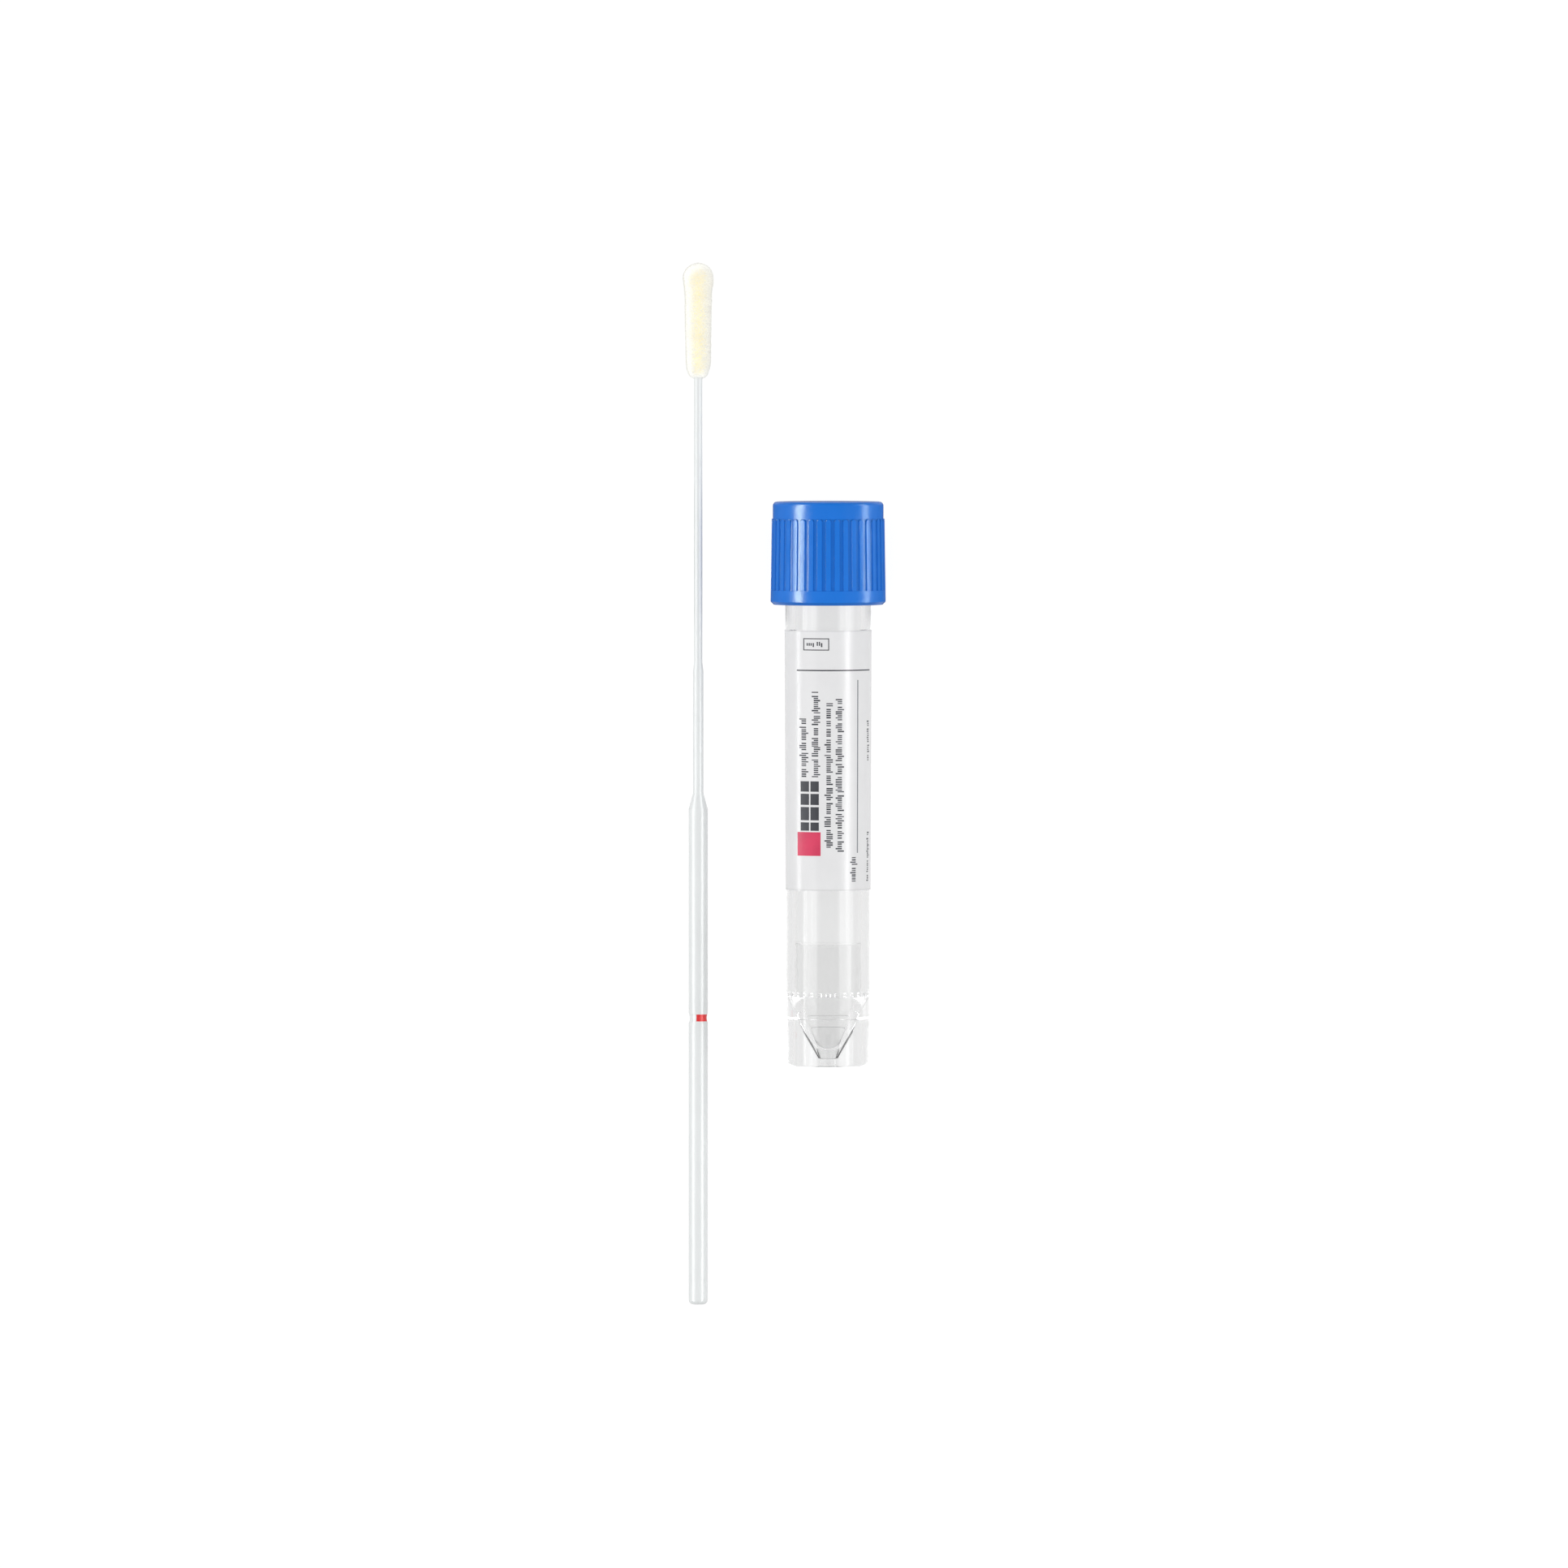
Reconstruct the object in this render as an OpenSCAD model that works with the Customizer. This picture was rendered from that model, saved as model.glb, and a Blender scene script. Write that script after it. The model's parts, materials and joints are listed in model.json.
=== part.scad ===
// Specimen swab tube set: a skirted transport tube with its screw cap, label and medium,
// and the flocked swab that goes with it. The two lie side by side, as they come to rest.
//
// Sizes are in millimetres. Each piece is drawn upright on its own axis. The tube and its
// cap stand on the tube's foot, and the swab stands on the end of its handle. lay_tube()
// and lay_swab() then lay them down on the plane z = 0, with cap and tip towards +Y.

/* [Tube] */
// Outer radius of the barrel at its foot
barrel_r = 6; // [5:0.1:7.2]
// How far the barrel widens between its foot and its neck
draft = 0.15; // [0:0.01:0.3]
// Thickness of the barrel's wall
wall = 1.2; // [0.9:0.05:1.5]
// Height of the mouth above the foot
mouth_z = 79.4; // [66:0.1:96]
// Rounding of the foot's outer edge
foot_round = 0.35; // [0.1:0.05:0.5]
// Thickness of the skirt around the conical bottom
skirt_t = 1; // [0.8:0.05:1.4]
// Height of the lowest point of the bore above the foot
bore_floor_z = 2.45; // [2:0.05:4]
// Radius of the rounded bottom of the bore
bore_tip_r = 2; // [1.2:0.1:3]
// Angle between the bore's cone and its axis
bore_cone_a = 25; // [20:1:40]
// Radius of the flat that ends the cone's outside
cone_flat_r = 1.25; // [0.8:0.05:1.6]
// Height of that flat above the foot
cone_flat_z = 1.15; // [0.6:0.05:1.6]
// Angle between the cone's outside and its axis
cone_a = 31.5; // [25:0.5:45]
// Radius of the moulding's gate mark under the cone
gate_r = 1.1; // [0.4:0.05:1.2]
// Height of the gate mark's end above the foot
gate_z = 0.2; // [0:0.05:0.5]

/* [Cap] */
// Height of the cap
cap_h = 14.8; // [12:0.1:18]
// Thickness of the cap's top
cap_top_t = 1.5; // [1:0.1:2]
// Thickness of the cap's wall at the top of its ribs
cap_wall = 1.15; // [0.9:0.05:1.5]
// How far the cap widens from the top of its ribs to its rim
cap_flare = 0.17; // [0:0.01:0.4]
// How far the plain crown is set in from the ribs
crown_step = 0.15; // [0.05:0.01:0.3]
// Height of the plain crown above the ribs
crown_h = 2.45; // [2:0.05:4]
// Rounding of the crown's edge
crown_round = 0.6; // [0.2:0.05:1]
// Height of the plain band below the ribs
band_h = 2.1; // [1:0.1:3]
// Chamfer of the cap's lower rim
rim_chamfer = 0.3; // [0.1:0.05:0.5]
// Number of ribs round the cap
ribs = 40; // [24:1:48]
// Width of the groove between two ribs
groove_w = 0.6; // [0.3:0.05:0.8]
// Depth of that groove
groove_d = 0.22; // [0.1:0.01:0.4]
// Depth of the seal ring that enters the mouth
plug_h = 4.6; // [3:0.1:6]
// Thickness of the seal ring
plug_t = 0.7; // [0.5:0.05:1]
// Chamfer that leads the seal ring into the mouth
plug_lead = 0.3; // [0.1:0.05:0.4]

/* [Label and medium] */
// Clear length of barrel between the foot and the label
foot_window = 25.3; // [20:0.1:32]
// Clear length of barrel between the label and the cap
neck_window = 3.6; // [2:0.1:6]
// Thickness of the label
label_t = 0.1; // [0.05:0.01:0.2]
// Angle that the label covers round the barrel
label_wrap = 340; // [270:5:355]
// Height of the medium's surface above the foot
fill_z = 17.4; // [12:0.1:24]

/* [Swab] */
// Length of the swab
swab_l = 150; // [125:0.5:180]
// Length of the flocked tip
tip_l = 16.6; // [13:0.1:20]
// Radius of the tip's rounded end
bulb_r = 2.25; // [1.8:0.05:2.8]
// Radius of the tip behind its rounded end
waist_r = 2; // [1.6:0.05:2.5]
// Radius of the tip where it begins to close on the shaft
heel_r = 1.85; // [1.5:0.05:2.3]
// Cover of flock over the end of the shaft
tip_cover = 1.5; // [1:0.1:2.5]
// Radius of the thin shaft behind the tip
thin_r = 0.6; // [0.5:0.05:0.72]
// Length of the cone between the thin shaft and the middle one
step_l = 1.2; // [0.6:0.1:2]
// Radius of the middle shaft
mid_r = 0.75; // [0.6:0.05:0.9]
// Length of the middle shaft
mid_l = 17.6; // [14:0.1:22]
// Length of the cone between the middle shaft and the handle
taper_l = 2.3; // [1:0.1:4]
// Radius of the handle
handle_r = 1.375; // [1.1:0.025:1.7]
// Length of the handle
handle_l = 71.4; // [59:0.1:86]
// Rounding of the handle's end
end_round = 1; // [0.3:0.05:1.05]
// Distance from the handle's end to the middle of the break groove
break_z = 41.3; // [34:0.1:50]
// Width of the break groove
break_w = 1.4; // [0.8:0.1:2]
// Depth of the break groove
break_d = 0.17; // [0.05:0.01:0.3]

/* [Layout] */
// Distance between the tube's axis and the swab's
axis_gap = 18.7; // [15:0.1:24]
// How far the swab's handle reaches past the tube's foot
handle_past = 34.6; // [28:0.1:42]

/* [Hidden] */
$fn = 96;

// Room for the screw thread between neck and cap
thread_room = 0.8;
// Clearance between the cap's top and the tube's mouth
seat_gap = 0.1;
// Clearance between the seal ring and the bore
plug_gap = 0.1;
// How far a cut runs past the face that it opens
cut = 1;
// Steps that make up a rounded edge
steps = 6;

neck_r = barrel_r + draft;
bore_r = barrel_r - wall;
skirt_bore_r = barrel_r - skirt_t;
mouth_round = 0.2;
bore_tip_z = bore_floor_z + bore_tip_r;
bore_cone_z = bore_tip_z - bore_tip_r * sin(bore_cone_a)
    + (bore_r - bore_tip_r * cos(bore_cone_a)) / tan(bore_cone_a);
cone_z = cone_flat_z + (skirt_bore_r - cone_flat_r) / tan(cone_a);

cap_top_z = mouth_z + seat_gap + cap_top_t;
rim_z = cap_top_z - cap_h;
cap_bore_r = neck_r + thread_room;
rib_r = cap_bore_r + cap_wall;
rim_r = rib_r + cap_flare;
crown_r = rib_r - crown_step;
rib_top_z = cap_top_z - crown_h;
rib_foot_z = rim_z + band_h;

label_z0 = foot_window;
label_z1 = rim_z - neck_window;
taper_margin = 1;
taper_z0 = label_z0 - taper_margin;
taper_z1 = label_z1 + taper_margin;

tip_z = swab_l - tip_l;
mid_z = handle_l + taper_l;
thin_z = mid_z + mid_l + step_l;
core_z = swab_l - tip_cover;
break_r = (break_w * break_w / 4 + break_d * break_d) / (2 * break_d);
break_a = asin(break_w / 2 / break_r);
bulb_z = swab_l - bulb_r;
waist_l = 2.3;
heel_l = 2.8;

set_w = bulb_r + axis_gap + rim_r;
swab_x = bulb_r - set_w / 2;
tube_x = set_w / 2 - rim_r;
swab_y = -swab_l / 2;
tube_y = swab_y + handle_past;

// The points of an arc about c, from angle a0 to a1
function arc(c, r, a0, a1, n = steps) =
    [for (i = [0:n]) let(a = a0 + (a1 - a0) * i / n) c + r * [cos(a), sin(a)]];

// The points of an ellipse's quarter about c, with half axes h, from angle a0 to a1
function bow(c, h, a0, a1, n = steps) =
    [for (i = [0:n]) let(a = a0 + (a1 - a0) * i / n) c + [h.x * cos(a), h.y * sin(a)]];

// The barrel's outer radius at height z
function barrel_at(z) =
    barrel_r + draft * max(0, min(1, (z - taper_z0) / (taper_z1 - taper_z0)));

// A piece rests on two round edges. An edge is [place along the axis, distance below it,
// radius]. The tilt brings both edges down to z = 0, and the lift is the height of the
// piece's own origin.
function rest_tilt(a, b) =
    atan2(b[1] - a[1], b[0] - a[0]) + asin((b[2] - a[2]) / norm([b[0] - a[0], b[1] - a[1]]));
function rest_lift(a, tilt) = a[2] - a[0] * sin(tilt) + a[1] * cos(tilt);

tube_foot = [foot_round, barrel_r - foot_round, foot_round];
cap_rim = [rim_z + rim_chamfer, rim_r, 0];
tube_tilt = rest_tilt(tube_foot, cap_rim);
tube_lift = rest_lift(tube_foot, tube_tilt);

handle_end = [end_round, handle_r - end_round, end_round];
swab_bulb = [bulb_z, 0, bulb_r];
swab_tilt = rest_tilt(handle_end, swab_bulb);
swab_lift = rest_lift(handle_end, swab_tilt);

// Lays a piece that stands on the tube's foot down on z = 0
module lay_tube()
{
    translate([tube_x, tube_y, tube_lift]) rotate([tube_tilt - 90, 0, 0]) children();
}

// Lays a piece that stands on the handle's end down on z = 0
module lay_swab()
{
    translate([swab_x, swab_y, swab_lift]) rotate([swab_tilt - 90, 0, 0]) children();
}

// The half section of the bore up to height top: a rounded tip, a cone and a cylinder
module bore_section(top)
{
    polygon(concat(
        [[0, bore_floor_z]],
        [for (p = arc([0, bore_tip_z], bore_tip_r, -90, -bore_cone_a)) if (p.x > 0.001) p],
        [[bore_r, bore_cone_z], [bore_r, top], [0, top]]
    ));
}

// The half section of the hollow between the skirt and the conical bottom
module skirt_section()
{
    difference() {
        translate([0, -cut]) square([skirt_bore_r, cone_z + cut]);
        polygon([[0, cone_flat_z], [cone_flat_r, cone_flat_z], [skirt_bore_r, cone_z],
            [skirt_bore_r, cone_z + cut], [0, cone_z + cut]]);
        translate([0, gate_z]) square([gate_r, cone_z]);
    }
}

// The tube: one clear moulding of barrel, skirt and conical bottom
module tube()
{
    color([0.93, 0.95, 0.95, 0.45])
    lay_tube()
    rotate_extrude()
    difference() {
        polygon(concat(
            [[0, 0]],
            arc([barrel_r - foot_round, foot_round], foot_round, -90, 0),
            [[barrel_r, taper_z0], [neck_r, taper_z1]],
            arc([neck_r - mouth_round, mouth_z - mouth_round], mouth_round, 0, 90),
            [[0, mouth_z]]
        ));
        bore_section(mouth_z + cut);
        skirt_section();
    }
}

// The medium that fills the bottom of the bore
module medium()
{
    color([0.86, 0.86, 0.84, 0.6])
    lay_tube()
    rotate_extrude() bore_section(fill_z);
}

// The label, a thin skin on the barrel with its seam turned down
module label()
{
    color([0.93, 0.93, 0.95])
    lay_tube()
    rotate([0, 0, 90 + (360 - label_wrap) / 2])
    rotate_extrude(angle = label_wrap)
    polygon([
        [barrel_at(label_z0), label_z0], [barrel_at(label_z0) + label_t, label_z0],
        [barrel_at(label_z1) + label_t, label_z1], [barrel_at(label_z1), label_z1]
    ]);
}

// The half section of the cap, without its grooves
module cap_section()
{
    plug_r = bore_r - plug_gap;
    difference() {
        polygon(concat(
            [[0, rim_z], [rim_r - rim_chamfer, rim_z], [rim_r, rim_z + rim_chamfer],
                [rib_r, rib_top_z], [crown_r, rib_top_z + crown_step]],
            arc([crown_r - crown_round, cap_top_z - crown_round], crown_round, 0, 90),
            [[0, cap_top_z]]
        ));
        difference() {
            translate([0, rim_z - cut]) square([cap_bore_r, cap_h - cap_top_t + cut]);
            translate([0, cap_top_z - cap_top_t - plug_h])
            polygon([[plug_r - plug_t, 0], [plug_r - plug_lead, 0], [plug_r, plug_lead],
                [plug_r, plug_h + cut], [plug_r - plug_t, plug_h + cut]]);
        }
    }
}

// The screw cap: one moulding of wall, top and seal ring, with grooves that leave the ribs
module cap()
{
    color([0.15, 0.45, 0.85])
    lay_tube()
    difference() {
        rotate_extrude() cap_section();
        for (i = [0:ribs - 1])
            rotate([0, 0, (i + 0.5) * 360 / ribs])
            translate([rib_r - groove_d, -groove_w / 2, rib_foot_z])
            cube([cap_flare + groove_d + cut, groove_w, rib_top_z - rib_foot_z]);
    }
}

// The half section of the shaft's length inside the tip
module core_section(clear_z)
{
    translate([0, clear_z]) square([thin_r, core_z - clear_z]);
}

// The swab's shaft: one moulding of handle, break groove, cones and thin end
module swab_shaft()
{
    color([0.93, 0.95, 0.95])
    lay_swab()
    rotate_extrude()
    polygon(concat(
        [[0, 0]],
        arc([handle_r - end_round, end_round], end_round, -90, 0),
        arc([handle_r - break_d + break_r, break_z], break_r, 180 + break_a, 180 - break_a),
        [[handle_r, handle_l], [mid_r, mid_z], [mid_r, mid_z + mid_l],
            [thin_r, thin_z], [thin_r, core_z], [0, core_z]]
    ));
}

// The flocked tip, a solid sleeve over the shaft's end
module flock_tip()
{
    heel_z = tip_z + heel_l;
    shoulder_z = bulb_z - waist_l;
    color([1, 0.97, 0.88])
    lay_swab()
    rotate_extrude()
    difference() {
        polygon(concat(
            [[0, tip_z]],
            bow([thin_r, heel_z], [heel_r - thin_r, heel_l], -90, 0),
            [[waist_r, shoulder_z]],
            [for (i = [1:steps - 1]) let(u = i / steps)
                [waist_r + (bulb_r - waist_r) * (1 - cos(180 * u)) / 2, shoulder_z + waist_l * u]],
            arc([0, bulb_z], bulb_r, 0, 90)
        ));
        core_section(tip_z - cut);
    }
}

tube();
cap();
label();
medium();
swab_shaft();
flock_tip();
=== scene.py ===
"""Looks of a specimen swab tube set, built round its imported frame.

The set is a skirted transport tube with its screw cap, label and medium, and the
flocked swab that lies beside it. Each piece is drawn upright on its own +Z axis, in
millimetres, and is then laid where the frame's mounts say.
"""

import json
import logging
import math
import random
from collections.abc import Callable, Sequence
from dataclasses import dataclass, field
from enum import Enum

import bpy
import numpy as np
from mathutils import Matrix, Vector

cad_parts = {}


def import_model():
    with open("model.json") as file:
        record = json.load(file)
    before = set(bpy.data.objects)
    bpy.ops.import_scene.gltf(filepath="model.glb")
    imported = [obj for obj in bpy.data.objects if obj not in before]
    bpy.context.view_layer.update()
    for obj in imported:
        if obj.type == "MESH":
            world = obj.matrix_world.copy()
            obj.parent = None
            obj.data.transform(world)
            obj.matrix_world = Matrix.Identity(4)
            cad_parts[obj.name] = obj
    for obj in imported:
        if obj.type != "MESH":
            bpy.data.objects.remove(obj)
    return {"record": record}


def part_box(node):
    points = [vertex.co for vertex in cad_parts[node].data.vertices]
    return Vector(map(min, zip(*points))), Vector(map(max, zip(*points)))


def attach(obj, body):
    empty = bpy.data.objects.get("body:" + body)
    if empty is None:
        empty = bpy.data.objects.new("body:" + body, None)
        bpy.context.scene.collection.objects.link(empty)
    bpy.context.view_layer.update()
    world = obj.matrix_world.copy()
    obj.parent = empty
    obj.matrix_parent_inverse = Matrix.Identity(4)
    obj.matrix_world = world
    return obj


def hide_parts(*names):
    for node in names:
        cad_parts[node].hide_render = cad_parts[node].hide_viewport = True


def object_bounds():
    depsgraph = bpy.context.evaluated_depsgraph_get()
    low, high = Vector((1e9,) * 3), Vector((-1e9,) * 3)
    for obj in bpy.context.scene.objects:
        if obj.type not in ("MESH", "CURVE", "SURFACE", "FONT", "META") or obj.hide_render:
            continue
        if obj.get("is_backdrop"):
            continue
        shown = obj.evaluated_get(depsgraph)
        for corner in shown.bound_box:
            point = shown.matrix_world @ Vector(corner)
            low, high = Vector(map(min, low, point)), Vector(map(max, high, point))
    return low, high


LOG = logging.getLogger("swab_tube_set")
MM = 0.001
CAP_PIECES = ("cap_moulding",)
LABEL_PIECES = (
    "label_film",
    "label_print_dark",
    "label_print_grey",
    "label_print_rose",
)
SHAFT_PIECES = ("swab_shaft_moulding", "swab_break_mark")
TUBE_PIECES = ("tube_moulding",)
FLOCK_PIECES = ("flock_bed", "flock_fibres")
# Mesh attribute of painted shade: darker cap grooves, rib-top arcs and rim bevel, darker
# label edges and darker fibre tips.
PAINTED_SHADE = "painted_shade"
GLOSS = "gloss"
CAP_GLARE = (0.93, 1.0, 0.62)
WHITE = (1.0, 1.0, 1.0, 1.0)
LEAST_RISE = 1e-9
LEG_SHARE = 0.49
NUMBER_SOCKET = "NodeSocketFloat"
GEOMETRY_SOCKET = "NodeSocketGeometry"
MATERIAL_SOCKET = "NodeSocketMaterial"

Corner = tuple[float, float, float]
Point = tuple[float, float]
Span = tuple[float, float]
Colour = tuple[float, float, float, float]
Relief = Callable[[np.ndarray, float, float], np.ndarray]


class Body(Enum):
    """The CAD bodies that the pieces ride on."""

    TUBE = "tube"
    CAP = "cap"
    SWAB = "swab"


class Slot(Enum):
    """The record's material slots."""

    CLEAR_TUBE = "clear_tube"
    CAP_BLUE = "cap_blue"
    LABEL_PAPER = "label_paper"
    MEDIUM = "medium"
    SHAFT_WHITE = "shaft_white"
    FLOCK = "flock"


class Ink(Enum):
    """The inks of the label's print, by piece name and sRGB colour."""

    DARK = ("label_print_dark", (62, 64, 70))
    GREY = ("label_print_grey", (132, 134, 140))
    ROSE = ("label_print_rose", (214, 52, 92))


def srgb(red: float, green: float, blue: float) -> Colour:
    """Turns an 8-bit sRGB colour into the linear one that a shader takes.

    Args:
        red: Red, from 0 to 255.
        green: Green, from 0 to 255.
        blue: Blue, from 0 to 255.

    Returns:
        The linear colour, with an alpha of 1.
    """

    def linear(value: float) -> float:
        """One channel from sRGB to linear."""
        share = value / 255
        return share / 12.92 if share <= 0.04045 else ((share + 0.055) / 1.055) ** 2.4

    return linear(red), linear(green), linear(blue), 1.0


def smooth_step(value: np.ndarray | float, low: float, high: float) -> np.ndarray:
    """Rises from 0 at low to 1 at high, with no kink at either end.

    Args:
        value: Where to take the step.
        low: Where it starts.
        high: Where it ends.

    Returns:
        The height of the step at each value.
    """
    share = np.clip((np.asarray(value, float) - low) / (high - low), 0, 1)
    return share * share * (3 - 2 * share)


def rounded(corners: Sequence[Corner], steps: int = 6) -> list[Point]:
    """Turns a line of corners into a line with rounded corners.

    Args:
        corners: Radius, height and rounding of each corner.
        steps: Number of steps in each rounding.

    Returns:
        The points of the line, as radius and height.
    """
    line: list[Point] = []
    for index, (radius, height, fillet) in enumerate(corners):
        here = np.array((radius, height))
        if not fillet or index in (0, len(corners) - 1):
            line.append((radius, height))
            continue
        back = np.array(corners[index - 1][:2]) - here
        ahead = np.array(corners[index + 1][:2]) - here
        room = LEG_SHARE * min(np.linalg.norm(back), np.linalg.norm(ahead))
        back, ahead = back / np.linalg.norm(back), ahead / np.linalg.norm(ahead)
        half = 0.5 * math.acos(float(np.clip(back @ ahead, -1, 1)))
        reach = min(fillet / math.tan(half), room)
        fillet = reach * math.tan(half)
        middle = (back + ahead) / np.linalg.norm(back + ahead)
        centre = here + middle * fillet / math.sin(half)
        first = here + back * reach - centre
        last = here + ahead * reach - centre
        start = math.atan2(first[1], first[0])
        turn = math.atan2(last[1], last[0]) - start
        turn = (turn + math.pi) % (2 * math.pi) - math.pi
        for step in range(steps + 1):
            angle = start + turn * step / steps
            line.append(
                (
                    float(centre[0] + fillet * math.cos(angle)),
                    float(centre[1] + fillet * math.sin(angle)),
                )
            )
    return line


def refined(line: Sequence[Point], low: float, high: float, gap: float) -> list[Point]:
    """Adds points to a line between two heights.

    Args:
        line: The line, as radius and height.
        low: Lowest height of the stretch.
        high: Highest height of the stretch.
        gap: Longest distance between two points there.

    Returns:
        The line with its added points.
    """
    made = [line[0]]
    for start, end in zip(line, line[1:]):
        rise = end[1] - start[1]
        if max(start[1], end[1]) <= low or min(start[1], end[1]) >= high:
            made.append(end)
            continue
        marks = {0.0, 1.0}
        if abs(rise) > LEAST_RISE:
            shares = ((height - start[1]) / rise for height in (low, high))
            marks |= {share for share in shares if 0 < share < 1}
        ordered = sorted(marks)
        for first, last in zip(ordered, ordered[1:]):
            parts = 1
            if low <= start[1] + rise * (first + last) / 2 <= high:
                length = math.dist(start, end) * (last - first)
                parts = max(1, math.ceil(length / gap))
            for part in range(1, parts + 1):
                share = first + (last - first) * part / parts
                made.append(
                    (start[0] + (end[0] - start[0]) * share, start[1] + rise * share)
                )
    return made


@dataclass(frozen=True)
class Lie:
    """Where an upright piece lies in the frame: its origin and its axis."""

    origin: Vector
    axis: Vector

    def matrix(self) -> Matrix:
        """The matrix that lays an upright piece of millimetres down in the frame."""
        side = Vector((1, 0, 0))
        turn = Matrix((side, self.axis.cross(side), self.axis)).transposed()
        return Matrix.Translation(self.origin) @ turn.to_4x4() @ Matrix.Scale(MM, 4)


class Draft:
    """The points and faces of one upright piece, in millimetres."""

    def __init__(self) -> None:
        """Starts with nothing."""
        self.points: list[np.ndarray] = []
        self.faces: list[list[int]] = []
        self.count = 0

    def add_points(self, points: np.ndarray) -> int:
        """Adds points.

        Args:
            points: The points, in any grid of three numbers each.

        Returns:
            The number of the first one.
        """
        first = self.count
        self.points.append(np.asarray(points, float).reshape(-1, 3))
        self.count += len(self.points[-1])
        return first

    def add_sheet(
        self, grid: np.ndarray, round_columns: bool = False, round_rows: bool = False
    ) -> np.ndarray:
        """Adds a grid of points joined by quads. They face along columns times rows.

        Args:
            grid: The points, as rows by columns by three.
            round_columns: Whether the last column joins the first.
            round_rows: Whether the last row joins the first.

        Returns:
            The numbers of the points, as rows by columns.
        """
        rows, columns = grid.shape[:2]
        own = self.add_points(grid) + np.arange(rows * columns).reshape(rows, columns)
        at = np.hstack([own, own[:, :1]]) if round_columns else own
        at = np.vstack([at, at[:1]]) if round_rows else at
        quads = np.stack([at[:-1, :-1], at[:-1, 1:], at[1:, 1:], at[1:, :-1]], -1)
        self.faces += quads.reshape(-1, 4).tolist()
        return own

    def add_lathe(
        self,
        line: Sequence[Point],
        angles: np.ndarray,
        relief: Relief | None = None,
        ring: bool = False,
    ) -> None:
        """Turns a line round the axis. The solid is on the line's left.

        Args:
            line: Radius and height of each point. It starts and ends on the axis,
                unless it is a ring.
            angles: The angles of the columns, in radians.
            relief: Gives how far the points at these angles stand out.
            ring: Whether the line closes on itself and stays off the axis.
        """
        inner = list(line) if ring else list(line)[1:-1]
        cosines, sines = np.cos(angles), np.sin(angles)
        rows = []
        for radius, height in inner:
            reach = np.full(len(angles), float(radius))
            if relief:
                reach = reach + relief(angles, radius, height)
            rows.append(
                np.stack(
                    [reach * cosines, reach * sines, np.full(len(angles), height)], -1
                )
            )
        at = self.add_sheet(np.array(rows), round_columns=True, round_rows=ring)
        if ring:
            return
        low = self.add_points(np.array([[0, 0, line[0][1]]]))
        high = self.add_points(np.array([[0, 0, line[-1][1]]]))
        first, last = at[0].tolist(), at[-1].tolist()
        for here in range(len(angles)):
            after = (here + 1) % len(angles)
            self.faces.append([low, first[after], first[here]])
            self.faces.append([last[here], last[after], high])

    def add_slab(self, low: np.ndarray, high: np.ndarray) -> None:
        """Adds a closed slab between two grids of the same shape.

        Args:
            low: The inner grid, as rows by columns by three.
            high: The outer grid, which the slab faces with.
        """
        at = self.add_sheet(high)
        under = self.add_points(low) + np.arange(at.size).reshape(at.shape)
        quads = np.stack(
            [under[:-1, :-1], under[1:, :-1], under[1:, 1:], under[:-1, 1:]], -1
        )
        self.faces += quads.reshape(-1, 4).tolist()
        upper, lower = (
            np.concatenate([own[0, :-1], own[:-1, -1], own[-1, :0:-1], own[:0:-1, 0]])
            for own in (at, under)
        )
        sides = [lower, np.roll(lower, -1), np.roll(upper, -1), upper]
        self.faces += np.stack(sides, -1).tolist()

    def mesh(self, name: str, crease: float = 32) -> bpy.types.Mesh:
        """Makes the mesh, still upright and in millimetres.

        Args:
            name: The mesh's name.
            crease: Angle in degrees past which an edge stays sharp.

        Returns:
            The mesh.
        """
        made = bpy.data.meshes.new(name)
        made.from_pydata(np.vstack(self.points).tolist(), [], self.faces)
        made.validate()
        made.shade_smooth()
        made.set_sharp_from_angle(angle=math.radians(crease))
        return made


def even_angles(count: int) -> np.ndarray:
    """The angles of evenly spaced columns, in radians."""
    return np.linspace(0, 2 * math.pi, count, endpoint=False)


def wall_row(
    reach: float, angles: np.ndarray, heights: float | np.ndarray
) -> np.ndarray:
    """A row of points round a wall of a lying piece.

    Args:
        reach: The wall's radius.
        angles: Angles from the top of the lying piece towards +X, in radians.
        heights: The height along the piece, one for all or one for each.

    Returns:
        The points, one for each angle.
    """
    heights = np.broadcast_to(heights, angles.shape)
    return np.stack([reach * np.sin(angles), -reach * np.cos(angles), heights], -1)


def store(mesh: bpy.types.Mesh, name: str, numbers: np.ndarray) -> None:
    """Stores one number on each point of a mesh."""
    mesh.attributes.new(name, "FLOAT", "POINT").data.foreach_set("value", numbers)


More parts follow.
